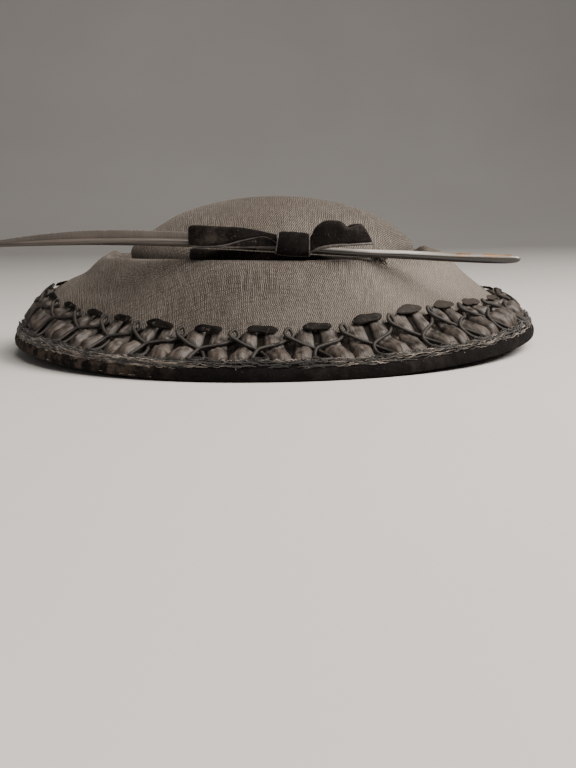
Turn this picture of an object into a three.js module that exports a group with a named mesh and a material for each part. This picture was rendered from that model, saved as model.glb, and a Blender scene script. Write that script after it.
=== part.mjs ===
// A wide-brim hat of dark ribbed cloth: a soft dome crown, a brim with a rolled ridge, a velvet rim,
// a padded satin braid laid on the brim, and a bow over a long quill at the front.
// Millimetres, +Z up, origin in the plane of the rim at the centre of the hat, front towards -Y.
import * as THREE from "three";

// Driving dimensions
const rimRadius = 152.5;
const crownRadius = 84;
const crownTop = 87.6;
const ridgeHeight = 53.5;
const grooveHeight = 40.5;
const grooveWidth = 1.5;
const rollWidth = 9.5;
const rimSideLift = 7;
const swellSideLift = 13.5;
const restingTurn = 13;
const ledgeWidth = 5.5;
const clothWall = 2;
const seatGap = 0.3;

const bindingHeight = 8.2;
const bindingWall = 1.5;
const bindingLean = 2;
const bindingLip = 4.5;
const bindingFoot = 5;

const braidRepeats = 29;
const braidStart = 3.8;
const braidMeeting = 0.47;
const braidMargin = 6;
const braidWidth = 24;
const braidScallop = 3.2;
const braidSpread = 12;
const braidLowerShare = 0.4;
const braidEdge = 0.9;
const puffHeight = 4.2;
const braidSeat = 0.45;

const quillLeftReach = 150;
const quillRightReach = 128;
const quillDiameter = 4.6;
const quillHeight = 59.6;
const vaneEnd = 12;
const vaneHeight = 4.3;
const vaneThickness = 1;

const ribbonThickness = 1.1;
const ribbonWidth = 11;
const bowCentre = 9.9;
const knotWidth = 16.4;
const knotHeight = 12.6;
const knotDepth = 9.5;
const knotRise = 1.6;
const loopDepth = 8.5;
const leftLoopLength = 44;
const rightLoopLength = 32;
const padWidth = 92;
const padDepth = 4.6;
const padRound = 1;

// Steps round the hat and along its parts
const columnsPerRepeat = 8;
const hatColumns = 2 * braidRepeats;
const crownColumns = 40;
const shaftSides = 8;
const padSteps = 10;

const brimEdgeRadius = rimRadius - bindingLean - bindingWall - seatGap;
const brimEdgeHeight = bindingHeight - bindingWall - seatGap;
const grooveRadius = crownRadius + grooveWidth;
const ridgeRadius = grooveRadius + rollWidth;
const brimSpan = brimEdgeRadius - ridgeRadius;
const lipRadius = rimRadius - bindingLean - bindingLip;
const braidOuterRadius = lipRadius - braidMargin;
const quillForward = crownRadius + seatGap + padDepth / 2;
const fullTurn = 2 * Math.PI;

// The brim's upper face inside the ridge: shares of the way from groove to ridge, out and up
const ridgeRoll = [
  { out: 0, up: 0 },
  { out: 0.22, up: 0.4 },
  { out: 0.5, up: 0.8 },
];

// The brim's upper face outside the ridge: share of the way to the edge, share of the ridge's rise
// that is left there, and share of the swell that the brim has at its two sides
const brimSlope = [
  { out: 0, up: 1, swell: 0 },
  { out: 0.07, up: 0.975, swell: 0.14 },
  { out: 0.17, up: 0.82, swell: 0.38 },
  { out: 0.28, up: 0.62, swell: 0.62 },
  { out: 0.39, up: 0.44, swell: 0.84 },
  { out: 0.49, up: 0.29, swell: 1 },
  { out: 0.6, up: 0.155, swell: 1.04 },
  { out: 0.7, up: 0.075, swell: 0.95 },
  { out: 0.81, up: 0.04, swell: 0.66 },
  { out: 0.92, up: 0.016, swell: 0.25 },
  { out: 1, up: 0, swell: 0 },
];

// Swells and dips of the brim: degrees round from the front, half their turn, shares of the brim's
// span out from the ridge, half their reach, and their lift as a share of the ridge's height
const brimWaves = [
  { at: -40, turn: 60, out: 0, reach: 0.4, lift: 0.02 },
  { at: -102, turn: 60, out: 0.62, reach: 0.36, lift: 0.1 },
  { at: 98, turn: 55, out: 0.45, reach: 0.48, lift: -0.015 },
  { at: -95, turn: 9, out: 0.02, reach: 0.14, lift: 0.035 },
  { at: 99, turn: 12, out: -0.02, reach: 0.17, lift: 0.095 },
  { at: -48, turn: 13, out: 0.24, reach: 0.3, lift: -0.025 },
  { at: 62, turn: 8, out: 0.12, reach: 0.2, lift: -0.022 },
  { at: 180, turn: 60, out: 0.1, reach: 0.4, lift: 0.02 },
];

// The crown's outer face: shares of its radius, and of its height over the groove
const crownSections = [
  { out: 0.975, up: 0 },
  { out: 0.995, up: 0.16 },
  { out: 1, up: 0.3 },
  { out: 0.982, up: 0.385 },
  { out: 0.935, up: 0.47 },
  { out: 0.82, up: 0.625 },
  { out: 0.67, up: 0.78 },
  { out: 0.5, up: 0.885 },
  { out: 0.32, up: 0.955 },
  { out: 0.16, up: 0.99 },
];

// Dents of the crown: degrees round, half their turn, level and half their reach as shares of its
// height, and their push outwards as a share of its radius
const crownDents = [
  { at: -90, turn: 45, level: 0.38, reach: 0.3, push: 0.018 },
  { at: 100, turn: 40, level: 0.6, reach: 0.4, push: 0.012 },
  { at: 60, turn: 22, level: 0.3, reach: 0.25, push: -0.02 },
  { at: -20, turn: 35, level: 0.75, reach: 0.25, push: 0.015 },
  { at: 170, turn: 50, level: 0.5, reach: 0.4, push: -0.012 },
];

// The braid across its width, from the lower edge to the upper: share across, share of the puffs'
// height on a petal, and under an arch, where a hollow lies below the gathered upper edge
const braidSections = [
  { across: 0, petal: 0, arch: 0 },
  { across: 0.14, petal: 0.72, arch: 0.3 },
  { across: 0.38, petal: 1, arch: 0.35 },
  { across: 0.62, petal: 0.95, arch: 0.1 },
  { across: 0.82, petal: 0.8, arch: 0.25 },
  { across: 0.93, petal: 0.6, arch: 0.75 },
  { across: 1, petal: 0, arch: 0 },
];

// The quill from its left tip to its right: share along, rise and thickness as shares of its
// diameter, and the vane's height as a share of its greatest
const quillSections = [
  { along: 0, rise: 0.74, thick: 0.3, vane: 0.1 },
  { along: 0.04, rise: 0.87, thick: 0.5, vane: 0.4 },
  { along: 0.12, rise: 1.02, thick: 0.68, vane: 0.78 },
  { along: 0.22, rise: 1.08, thick: 0.82, vane: 1 },
  { along: 0.38, rise: 0.8, thick: 1, vane: 0.88 },
  { along: 0.54, rise: 0.15, thick: 0.96, vane: 0.7 },
  { along: 0.68, rise: -0.58, thick: 0.82, vane: 0 },
  { along: 0.78, rise: -0.93, thick: 0.98, vane: 0 },
  { along: 0.88, rise: -1.33, thick: 1.02, vane: 0 },
  { along: 0.97, rise: -1.57, thick: 1.06, vane: 0 },
  { along: 1, rise: -1.63, thick: 0.7, vane: 0 },
];

// The ribbon of each loop, from the knot along the front leaf, round the fold and back behind:
// share of the loop's length, share of its depth, and the ribbon's two edges as shares of its width
const leftLoop = [
  { along: 0, depth: 0.62, low: 0.12, high: 0.64 },
  { along: 0.18, depth: 0.86, low: 0.42, high: 0.83 },
  { along: 0.38, depth: 1, low: 0.28, high: 0.98 },
  { along: 0.66, depth: 0.92, low: 0.1, high: 1.1 },
  { along: 0.9, depth: 0.72, low: 0.13, high: 1.15 },
  { along: 1, depth: 0.42, low: 0.18, high: 1.1 },
  { along: 0.9, depth: 0.14, low: 0.16, high: 1.08 },
  { along: 0.6, depth: 0.02, low: 0.06, high: 0.98 },
  { along: 0.3, depth: 0, low: -0.04, high: 0.78 },
  { along: 0, depth: 0.12, low: -0.06, high: 0.54 },
];
const rightLoop = [
  { along: 0, depth: 0.62, low: -0.35, high: 0.5 },
  { along: 0.12, depth: 0.86, low: -0.22, high: 0.93 },
  { along: 0.32, depth: 1, low: -0.05, high: 1.24 },
  { along: 0.55, depth: 0.96, low: 0.07, high: 1.0 },
  { along: 0.8, depth: 0.74, low: 0.08, high: 1.06 },
  { along: 1, depth: 0.42, low: 0.12, high: 0.8 },
  { along: 0.9, depth: 0.14, low: 0.12, high: 0.98 },
  { along: 0.6, depth: 0.02, low: 0.08, high: 0.96 },
  { along: 0.3, depth: 0, low: 0.02, high: 0.8 },
  { along: 0, depth: 0.12, low: -0.06, high: 0.5 },
];

// The knot from side to side: share along, share of its full girth
const knotSections = [
  { along: 0, girth: 0.8 },
  { along: 0.12, girth: 0.94 },
  { along: 0.5, girth: 1 },
  { along: 0.88, girth: 0.95 },
  { along: 1, girth: 0.82 },
];
const knotSides = 12;

// The pad's foot: share of the way from the groove's floor to the ridge
const padFootShare = 0.8;

const velvetBlack = { color: 0x121113, roughness: 1, metalness: 0 };
const charcoalCloth = { color: 0x4b4540, roughness: 0.95, metalness: 0 };
const satinBlack = { color: 0x26211e, roughness: 0.55, metalness: 0 };
const quillGloss = { color: 0x77736f, roughness: 0.35, metalness: 0 };
const vaneTaupe = { color: 0x5d5650, roughness: 0.7, metalness: 0 };

// A smooth hill of height 1 at 0 that ends at 1
function hill(distance) {
  const inside = Math.max(0, 1 - distance * distance);
  return inside * inside;
}

// Degrees between two bearings, the short way round
function degreesBetween(a, b) {
  const turn = (((a - b) % 360) + 540) % 360;
  return turn - 180;
}

// The value of a table's column at a share of another column, along a smooth curve through its rows
function tableValue(rows, shareColumn, valueColumn, share) {
  const last = rows.length - 1;
  let row = 0;
  while (row < last - 1 && rows[row + 1][shareColumn] < share) row += 1;
  const here = rows[row];
  const next = rows[row + 1];
  const before = rows[Math.max(row - 1, 0)];
  const after = rows[Math.min(row + 2, last)];
  const step = next[shareColumn] - here[shareColumn];
  const part = (share - here[shareColumn]) / step;
  const slopeHere = (next[valueColumn] - before[valueColumn]) / (next[shareColumn] - before[shareColumn]);
  const slopeNext = (after[valueColumn] - here[valueColumn]) / (after[shareColumn] - here[shareColumn]);
  const square = part * part;
  const cube = square * part;
  return (
    here[valueColumn] * (2 * cube - 3 * square + 1) +
    next[valueColumn] * (3 * square - 2 * cube) +
    slopeHere * step * (cube - 2 * square + part) +
    slopeNext * step * (cube - square)
  );
}

// A point at a bearing in degrees from the front, a radius and a height
function around(bearing, radius, height) {
  const angle = THREE.MathUtils.degToRad(bearing);
  return new THREE.Vector3(radius * Math.sin(angle), -radius * Math.cos(angle), height);
}

// A closed body whose skin joins equal rings of points, with its ends joined or capped
function bodyOfRings(rings, endsJoined) {
  const sides = rings[0].length;
  const positions = rings.flat().flatMap((point) => [point.x, point.y, point.z]);
  const faces = [];
  const quads = endsJoined ? rings.length : rings.length - 1;
  for (let ring = 0; ring < quads; ring += 1) {
    const nextRing = (ring + 1) % rings.length;
    for (let side = 0; side < sides; side += 1) {
      const nextSide = (side + 1) % sides;
      const a = ring * sides + side;
      const b = ring * sides + nextSide;
      const c = nextRing * sides + nextSide;
      const d = nextRing * sides + side;
      faces.push(a, b, c, a, c, d);
    }
  }
  if (!endsJoined) {
    [0, rings.length - 1].forEach((ring) => {
      const centre = rings[ring].reduce((sum, point) => sum.add(point), new THREE.Vector3());
      centre.divideScalar(sides);
      const middle = positions.length / 3;
      positions.push(centre.x, centre.y, centre.z);
      for (let side = 0; side < sides; side += 1) {
        const a = ring * sides + side;
        const b = ring * sides + ((side + 1) % sides);
        if (ring === 0) faces.push(middle, b, a);
        else faces.push(middle, a, b);
      }
    });
  }
  return facingOut(positions, faces);
}

// The geometry of a closed skin, with every face turned outwards
function facingOut(positions, faces) {
  const point = (index) => new THREE.Vector3().fromArray(positions, 3 * index);
  let volume = 0;
  for (let face = 0; face < faces.length; face += 3) {
    const a = point(faces[face]);
    const b = point(faces[face + 1]);
    const c = point(faces[face + 2]);
    volume += a.dot(b.cross(c));
  }
  const geometry = new THREE.BufferGeometry();
  geometry.setAttribute("position", new THREE.Float32BufferAttribute(positions, 3));
  geometry.setIndex(volume < 0 ? faces.reverse() : faces);
  geometry.computeVertexNormals();
  return geometry;
}

function named(name, geometry, finish) {
  const mesh = new THREE.Mesh(geometry, new THREE.MeshStandardMaterial(finish));
  mesh.name = name;
  return mesh;
}

// How far round to the side a bearing lies: 0 where the hat rests at front and back, 1 at the sides
function sideways(bearing) {
  const across = Math.sin(THREE.MathUtils.degToRad(bearing)) ** 2;
  const resting = Math.sin(THREE.MathUtils.degToRad(restingTurn)) ** 2;
  return Math.max(0, across - resting) / (1 - resting);
}

// How far the waves lift the brim at a bearing and radius: nothing at the groove and at the edge
function brimLift(bearing, radius) {
  const out = (radius - ridgeRadius) / brimSpan;
  const inward = THREE.MathUtils.smoothstep(radius, grooveRadius, ridgeRadius);
  const lift = brimWaves.reduce((sum, wave) => {
    const round = degreesBetween(bearing, wave.at) / wave.turn;
    const across = (out - wave.out) / wave.reach;
    return sum + wave.lift * hill(round) * hill(across);
  }, 0);
  return lift * ridgeHeight * inward;
}

// How far the rim stands over the floor at a bearing
function rimLift(bearing) {
  return rimSideLift * sideways(bearing);
}

// The height of the brim's upper face outside the ridge
function brimTop(bearing, radius) {
  const out = Math.min((radius - ridgeRadius) / brimSpan, 1);
  const rise = tableValue(brimSlope, "out", "up", out) * (ridgeHeight - brimEdgeHeight);
  const swell = tableValue(brimSlope, "out", "swell", out) * swellSideLift * sideways(bearing) ** 2;
  return brimEdgeHeight + rise + out * rimLift(bearing) + swell + brimLift(bearing, radius);
}

// The height of the brim's upper face between the groove and the ridge
function brimRollTop(bearing, radius) {
  const out = (radius - grooveRadius) / rollWidth;
  const up = tableValue([...ridgeRoll, { out: 1, up: 1 }], "out", "up", out);
  return grooveHeight + up * (ridgeHeight - grooveHeight) + brimLift(bearing, radius);
}

// The brim's upper face from its inner ledge to its edge, as radius and height
function brimUpperLine(bearing) {
  const rollRise = ridgeHeight - grooveHeight;
  const line = [new THREE.Vector2(crownRadius - ledgeWidth, grooveHeight)];
  ridgeRoll.forEach(({ out, up }) => {
    const radius = grooveRadius + out * rollWidth;
    line.push(new THREE.Vector2(radius, grooveHeight + up * rollRise + brimLift(bearing, radius)));
  });
  brimSlope.forEach(({ out }) => {
    const radius = ridgeRadius + out * brimSpan;
    line.push(new THREE.Vector2(radius, brimTop(bearing, radius)));
  });
  return line;
}

// A line of radius and height moved one wall's thickness to its under side
function underLine(line, wall) {
  return line.map((point, index) => {
    const before = line[Math.max(index - 1, 0)];
    const after = line[Math.min(index + 1, line.length - 1)];
    const along = after.clone().sub(before).normalize();
    return new THREE.Vector2(point.x + along.y * wall, point.y - along.x * wall);
  });
}

function makeBrim() {
  const rings = [];
  for (let column = 0; column < hatColumns; column += 1) {
    const bearing = (column * 360) / hatColumns;
    const upper = brimUpperLine(bearing);
    const under = underLine(upper, clothWall);
    rings.push([...upper, ...under.reverse()].map((point) => around(bearing, point.x, point.y)));
  }
  return named("brim", bodyOfRings(rings, true), charcoalCloth);
}

// How far the dents push the crown's face outwards
function crownPush(bearing, level) {
  const push = crownDents.reduce((sum, dent) => {
    const round = degreesBetween(bearing, dent.at) / dent.turn;
    return sum + dent.push * hill(round) * hill((level - dent.level) / dent.reach);
  }, 0);
  return push * crownRadius * Math.min(level / crownSections[1].up, 1);
}

// The crown's face from its foot to near its top, as radius and height
function crownLine(bearing) {
  const foot = grooveHeight + seatGap;
  return crownSections.map(({ out, up }) => {
    const radius = out * crownRadius + crownPush(bearing, up);
    return new THREE.Vector2(radius, foot + up * (crownTop - foot));
  });
}

function makeCrown() {
  const levels = crownSections.length;
  const rings = Array.from({ length: 2 * levels }, () => []);
  for (let column = 0; column < crownColumns; column += 1) {
    const bearing = (column * 360) / crownColumns;
    const outer = crownLine(bearing);
    const inner = underLine(outer, -clothWall);
    inner[0].y = outer[0].y;
    [...outer.reverse(), ...inner].forEach((point, level) => {
      rings[level].push(around(bearing, point.x, point.y));
    });
  }
  const crown = bodyOfRings(rings, false);
  const places = crown.getAttribute("position");
  places.setZ(places.count - 2, crownTop);
  places.setZ(places.count - 1, crownTop - clothWall);
  return named("crown", crown, charcoalCloth);
}

// The velvet rim folds round the brim's edge: a foot, an outer face and a lip on top
function makeBinding() {
  const topRadius = rimRadius - bindingLean;
  const corner = bindingWall / 2;
  const rings = [];
  for (let column = 0; column < hatColumns; column += 1) {
    const bearing = (column * 360) / hatColumns;
    const floor = rimLift(bearing);
    const lip = brimTop(bearing, lipRadius) + seatGap;
    const section = [
      { radius: rimRadius - bindingFoot, height: floor },
      { radius: rimRadius - corner, height: floor },
      { radius: rimRadius, height: floor + corner },
      { radius: rimRadius - bindingLean / 4, height: floor + bindingHeight / 2 },
      { radius: topRadius, height: floor + bindingHeight },
      { radius: lipRadius, height: lip + bindingWall },
      { radius: lipRadius, height: lip },
      { radius: topRadius - corner, height: floor + bindingHeight - bindingWall },
      { radius: rimRadius - bindingWall, height: floor + bindingWall },
      { radius: rimRadius - bindingFoot, height: floor + bindingWall },
    ];
    rings.push(section.map(({ radius, height }) => around(bearing, radius, height)));
  }
  return named("brim_binding", bodyOfRings(rings, true), velvetBlack);
}

// One ring of gathered satin: two petals to a repeat, pinched at each ring and meeting of its cord
function makeBraid() {
  const columns = columnsPerRepeat * braidRepeats;
  const rings = [];
  for (let column = 0; column < columns; column += 1) {
    const bearing = braidStart + (column * 360) / columns;
    const phase = (column % columnsPerRepeat) / columnsPerRepeat;
    const petal = phase < braidMeeting ? phase / braidMeeting : (phase - braidMeeting) / (1 - braidMeeting);
    const swell = Math.sqrt(Math.sin(Math.PI * petal));
    const archway = hill((phase - braidMeeting) / braidMeeting);
    const spread = braidSpread * sideways(bearing) ** 2;
    const lowerEdge = braidOuterRadius + spread * braidLowerShare;
    const upperEdge = braidOuterRadius - braidWidth + spread + braidScallop * (1 - archway);
    const width = lowerEdge - upperEdge;
    const outer = [];
    braidSections.forEach((row) => {
      const radius = lowerEdge - row.across * width;
      const puff = puffHeight * (row.petal * swell + row.arch * archway * (1 - swell));
      const base = brimTop(bearing, radius) + braidSeat;
      outer.push(around(bearing, radius, base + braidEdge + puff));
    });
    const under = [...braidSections].reverse().filter((row, index) => index % 2 === 0);
    under.forEach((row) => {
      const radius = lowerEdge - row.across * width;
      outer.push(around(bearing, radius, brimTop(bearing, radius) + braidSeat));
    });
    rings.push(outer);
  }
  return named("brim_braid", bodyOfRings(rings, true), satinBlack);
}

// The quill's middle line and sizes at a share of its length
function quillAt(share) {
  const value = (column) => tableValue(quillSections, "along", column, share);
  return {
    x: -quillLeftReach + share * (quillLeftReach + quillRightReach),
    z: quillHeight + value("rise") * quillDiameter,
    radius: (value("thick") * quillDiameter) / 2,
    vane: value("vane") * vaneHeight,
  };
}

// The share of the quill's length at a place to the left or right
function quillShare(x) {
  return (x + quillLeftReach) / (quillLeftReach + quillRightReach);
}

function makeShaft() {
  const rings = quillSections.map(({ along }) => {
    const { x, z, radius } = quillAt(along);
    return Array.from({ length: shaftSides }, (unused, side) => {
      const angle = (side * fullTurn) / shaftSides;
      return new THREE.Vector3(x, -quillForward + radius * Math.cos(angle), z + radius * Math.sin(angle));
    });
  });
  return named("quill_shaft", bodyOfRings(rings, false), quillGloss);
}

// The vane stands on the shaft as a thin blade, to a little way past the bow's left end
function makeVane() {
  const endShare = quillShare(-vaneEnd);
  const rows = quillSections.filter(({ along }) => along < endShare).map(({ along }) => along);
  const rings = [...rows, endShare].map((share) => {
    const { x, z, radius, vane } = quillAt(share);
    const foot = z + radius + seatGap;
    const half = vaneThickness / 2;
    return [
      new THREE.Vector3(x, -quillForward - half, foot),
      new THREE.Vector3(x, -quillForward + half, foot),
      new THREE.Vector3(x, -quillForward + half, foot + vane / 2),
      new THREE.Vector3(x, -quillForward, foot + vane),
      new THREE.Vector3(x, -quillForward - half, foot + vane / 2),
    ];
  });
  return named("quill_vane", bodyOfRings(rings, false), vaneTaupe);
}

// A ribbon loop of the bow in front of the quill, from the knot out to one side and back
function makeLoop(name, rows, length, side) {
  const back = quillForward + quillDiameter / 2 + seatGap + ribbonThickness;
  const start = bowCentre + side * (knotWidth / 2 + seatGap);
  const line = rows.map(({ along, depth }) => {
    return new THREE.Vector2(start + side * along * length, -back - depth * loopDepth);
  });
  const rings = rows.map(({ low, high }, row) => {
    const before = line[Math.max(row - 1, 0)];
    const after = line[Math.min(row + 1, rows.length - 1)];
    const across = after.clone().sub(before).normalize().rotateAround(new THREE.Vector2(), Math.PI / 2);
    const half = across.multiplyScalar(ribbonThickness / 2);
    const floor = quillHeight + low * ribbonWidth;
    const ceiling = quillHeight + high * ribbonWidth;
    const outer = line[row].clone().add(half);
    const inner = line[row].clone().sub(half);
    return [
      new THREE.Vector3(outer.x, outer.y, floor),
      new THREE.Vector3(outer.x, outer.y, ceiling),
      new THREE.Vector3(inner.x, inner.y, ceiling),
      new THREE.Vector3(inner.x, inner.y, floor),
    ];
  });
  return named(name, bodyOfRings(rings, false), velvetBlack);
}

// The knot is a barrel in front of the quill, between the loops
function makeKnot() {
  const back = quillForward + quillDiameter / 2 + seatGap;
  const rings = knotSections.map(({ along, girth }) => {
    const x = bowCentre + (along - 1 / 2) * knotWidth;
    return Array.from({ length: knotSides }, (unused, side) => {
      const angle = (side * fullTurn) / knotSides;
      const y = -back - knotDepth / 2 + (girth * knotDepth * Math.cos(angle)) / 2;
      const z = quillHeight + knotRise + (girth * knotHeight * Math.sin(angle)) / 2;
      return new THREE.Vector3(x, y, z);
    });
  });
  return named("bow_knot", bodyOfRings(rings, false), velvetBlack);
}

// A velvet pad lies in the groove under the bow, against the crown and the ridge, under the quill
function makePad() {
  const turn = THREE.MathUtils.radToDeg(padWidth / 2 / quillForward);
  const middle = THREE.MathUtils.radToDeg(bowCentre / 2 / quillForward);
  const inside = quillForward - padDepth / 2;
  const outside = quillForward + padDepth / 2;
  const rings = [];
  for (let step = 0; step <= padSteps; step += 1) {
    const share = step / padSteps;
    const bearing = middle + (2 * share - 1) * turn;
    const { z, radius } = quillAt(quillShare(quillForward * Math.sin(THREE.MathUtils.degToRad(bearing))));
    const top = z - radius - seatGap;
    const shoulder = top - padRound;
    const foot = brimRollTop(bearing, outside) + seatGap;
    const low = grooveHeight + padFootShare * (ridgeHeight - grooveHeight);
    rings.push([
      around(bearing, inside, low),
      around(bearing, quillForward, low),
      around(bearing, outside, Math.max(foot, low)),
      around(bearing, outside, shoulder),
      around(bearing, quillForward, top),
      around(bearing, inside, shoulder),
    ]);
  }
  return named("bow_pad", bodyOfRings(rings, false), velvetBlack);
}

const hat = new THREE.Group();
hat.add(makeCrown(), makeBrim(), makeBinding(), makeBraid());
hat.add(makeShaft(), makeVane());
hat.add(makeLoop("bow_left_loop", leftLoop, leftLoopLength, -1));
hat.add(makeLoop("bow_right_loop", rightLoop, rightLoopLength, 1));
hat.add(makeKnot(), makePad());

export default hat;
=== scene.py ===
"""The looks of a wide-brim hat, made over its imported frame.

Lengths are millimetres, and bearings are degrees round from the front towards the right.
Points become metres where a mesh or the camera is made. The stage and its lamps are in metres.
"""
import math

import bpy
import numpy as np
from mathutils import Matrix, Vector


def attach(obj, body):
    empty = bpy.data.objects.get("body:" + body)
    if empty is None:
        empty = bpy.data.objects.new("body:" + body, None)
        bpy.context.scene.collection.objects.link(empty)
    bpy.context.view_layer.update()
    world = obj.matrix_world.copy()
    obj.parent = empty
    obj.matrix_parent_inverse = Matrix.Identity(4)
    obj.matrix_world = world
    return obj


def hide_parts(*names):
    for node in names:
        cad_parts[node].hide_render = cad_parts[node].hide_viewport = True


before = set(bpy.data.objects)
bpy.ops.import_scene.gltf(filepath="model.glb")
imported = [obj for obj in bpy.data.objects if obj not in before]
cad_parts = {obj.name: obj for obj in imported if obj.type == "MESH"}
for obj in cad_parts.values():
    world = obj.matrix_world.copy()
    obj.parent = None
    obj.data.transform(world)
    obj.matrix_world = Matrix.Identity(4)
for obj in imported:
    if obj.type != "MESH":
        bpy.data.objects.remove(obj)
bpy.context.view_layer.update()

MM = 0.001
FULL_TURN = 2 * math.pi
SEED = 29

# The photo's frame in pixels, and the camera fitted to the rim, the ridge and the braid's repeats
PHOTO_LONG_SIDE = 768
FOCAL_PIXELS = 1050
SENSOR_WIDTH = 36
CAMERA_DISTANCE = 637.5
CAMERA_ELEVATION = 6.99
CAMERA_ROLL = -0.866
CAMERA_AIM = (7.35, 0, -25.5)

# The crown and the brim
RIM_RADIUS = 152.5
CROWN_RADIUS = 84
CROWN_TOP = 87.6
RIDGE_HEIGHT = 53.5
GROOVE_HEIGHT = 40.5
GROOVE_WIDTH = 1.5
ROLL_WIDTH = 9.5
RIM_SIDE_LIFT = 7
SWELL_SIDE_LIFT = 13.5
RESTING_TURN = 13
LEDGE_WIDTH = 5.5
CLOTH_WALL = 2
SEAT_GAP = 0.3

# The binding folded over the rim. Its lip is ragged in lines, by reach and number of waves round.
BINDING_HEIGHT = 8.2
BINDING_WALL = 1.5
BINDING_LEAN = 2
BINDING_LIP = 4.5
BINDING_FOOT = 5
BINDING_BULGE = 0.3
BINDING_RAGS = ((0.5, 70), (0.35, 180))
BINDING_LUMPS = 0.16
BINDING_LUMP_WAVES = 160

# The braid, its padded petals, its cord, and the arches rolled over between the cord's rings
BRAID_REPEATS = 29
BRAID_START = 3.2
BRAID_MEETING = 0.47
BRAID_MARGIN = 6
BRAID_WIDTH = 24
BRAID_SCALLOP = 3.2
BRAID_SPREAD = 12
BRAID_SEAT = 0.45
BRAID_GROUND = 1.0
BRAID_RIPPLE = 0.14
BRAID_FOOT_GAP = 0.9
BRAID_FOOT_SPREAD = 0.8
BRAID_HEAD_DROP = 1.7
PUFF_HEIGHT = 4.1
PUFF_LEAST = 0.3
PETAL_SINK = 0.35
PETAL_PINCH = 0.5
PETAL_SIZES = (0.84, 1.1)
PETAL_WIDTHS = (0.93, 1.06)
PETAL_LEAN = 0.02
CORD_RADIUS = 0.9
CORD_PINCH_REACH = 1.7
CORD_STRAY = 0.02
ARCH_SIZES = (0.9, 1.12)
ARCH_HALF_WIDTH = 1.5
ARCH_HALF_HEIGHT = 0.95
ARCH_LIFT = 3.75
ARCH_END_RISE = 0.35
ARCH_LEAN = 0.45
ARCH_SIDE_THIN = 0.35
ARCH_SETBACK = 1.1
ARCH_TURN = 0.04
ARCH_STRAY = 0.015
ARCH_HALF_TURN = 0.3

# The quill
QUILL_LEFT_REACH = 150
QUILL_RIGHT_REACH = 128
QUILL_DIAMETER = 4.6
QUILL_HEIGHT = 59.6
QUILL_TIP = 2.4
VANE_END = 12
VANE_HEIGHT = 4.3
BARB_SPACING = 0.55
BARB_LEAN = 0.9

# Along the quill from the hat's middle: its turn from taupe to grey, its amber patches, the stretch
# behind the bow's left loop painted in shade, and where the highlight painted on its top side fades
GREY_TURN = (-12, 12)
AMBER_PATCHES = ((94, 102), (108, 123))
SHADED_STRETCH = (-44, -9)
HIGHLIGHT_FADE = (74, 92)

# The bow, its knot, and the band under it with its frayed end
RIBBON_THICKNESS = 1.1
RIBBON_WIDTH = 11
BOW_CENTRE = 9.9
KNOT_WIDTH = 16.4
KNOT_HEIGHT = 12.6
KNOT_DEPTH = 9.5
KNOT_RISE = 2.3
KNOT_TILT = -4.5
KNOT_BOXINESS = 2.8
LOOP_DEPTH = 8.5
LEFT_LOOP_LENGTH = 44
RIGHT_LOOP_LENGTH = 32
PAD_WIDTH = 92
PAD_DEPTH = 4.6
PAD_PILE = 4
PAD_FOOT_SHARE = 0.8
TUFT_BEARING = 34
TUFT_RADIUS = 97.5
TUFT_SPREAD = (1.6, 1.3)
TUFT_REACH = (1.6, 0.9)

BRIM_EDGE_RADIUS = RIM_RADIUS - BINDING_LEAN - BINDING_WALL - SEAT_GAP
BRIM_EDGE_HEIGHT = BINDING_HEIGHT - BINDING_WALL - SEAT_GAP
GROOVE_RADIUS = CROWN_RADIUS + GROOVE_WIDTH
RIDGE_RADIUS = GROOVE_RADIUS + ROLL_WIDTH
BRIM_SPAN = BRIM_EDGE_RADIUS - RIDGE_RADIUS
RIM_TOP_RADIUS = RIM_RADIUS - BINDING_LEAN
LIP_RADIUS = RIM_TOP_RADIUS - BINDING_LIP
BRAID_OUTER_RADIUS = LIP_RADIUS - BRAID_MARGIN
BRAID_HEAD_RADIUS = BRAID_OUTER_RADIUS - BRAID_WIDTH + BRAID_HEAD_DROP
BRAID_FOOT_RADIUS = LIP_RADIUS - BRAID_FOOT_GAP
BRAID_REPEAT_LENGTH = math.pi * (BRAID_HEAD_RADIUS + BRAID_FOOT_RADIUS) / BRAID_REPEATS
QUILL_FORWARD = CROWN_RADIUS + SEAT_GAP + PAD_DEPTH / 2
BOW_BACK = QUILL_FORWARD + QUILL_DIAMETER / 2 + SEAT_GAP

# Steps of the fine meshes
BRIM_COLUMNS = 540
BRIM_ROLL_RINGS = 12
BRIM_SLOPE_RINGS = 56
CROWN_COLUMNS = 360
CROWN_RINGS_PER_STEP = 7
RIM_COLUMNS = 720
GROUND_COLUMNS_PER_REPEAT = 16
CORD_STEPS_PER_REPEAT = 96
CORD_SIDES = 10
RIBBON_STEPS = 110
THREAD_STEPS = 9
THREAD_SIDES = 4


def rows(columns, *values):
    """A table: each named column as an array."""
    return dict(zip(columns.split(), np.array(values, float).T))


# The brim inside its ridge: shares of the way out from the groove, and of the ridge's rise
RIDGE_ROLL = rows("out up", (0, 0), (0.22, 0.4), (0.5, 0.8), (1, 1))

# The brim outside its ridge: share of its span, of the ridge's rise, and of the side swell
BRIM_SLOPE = rows(
    "out up swell",
    (0, 1, 0), (0.07, 0.975, 0.14), (0.17, 0.82, 0.38), (0.28, 0.62, 0.62), (0.39, 0.44, 0.84),
    (0.49, 0.29, 1), (0.6, 0.155, 1.04), (0.7, 0.075, 0.95), (0.81, 0.04, 0.66),
    (0.92, 0.016, 0.25), (1, 0, 0),
)

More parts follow.
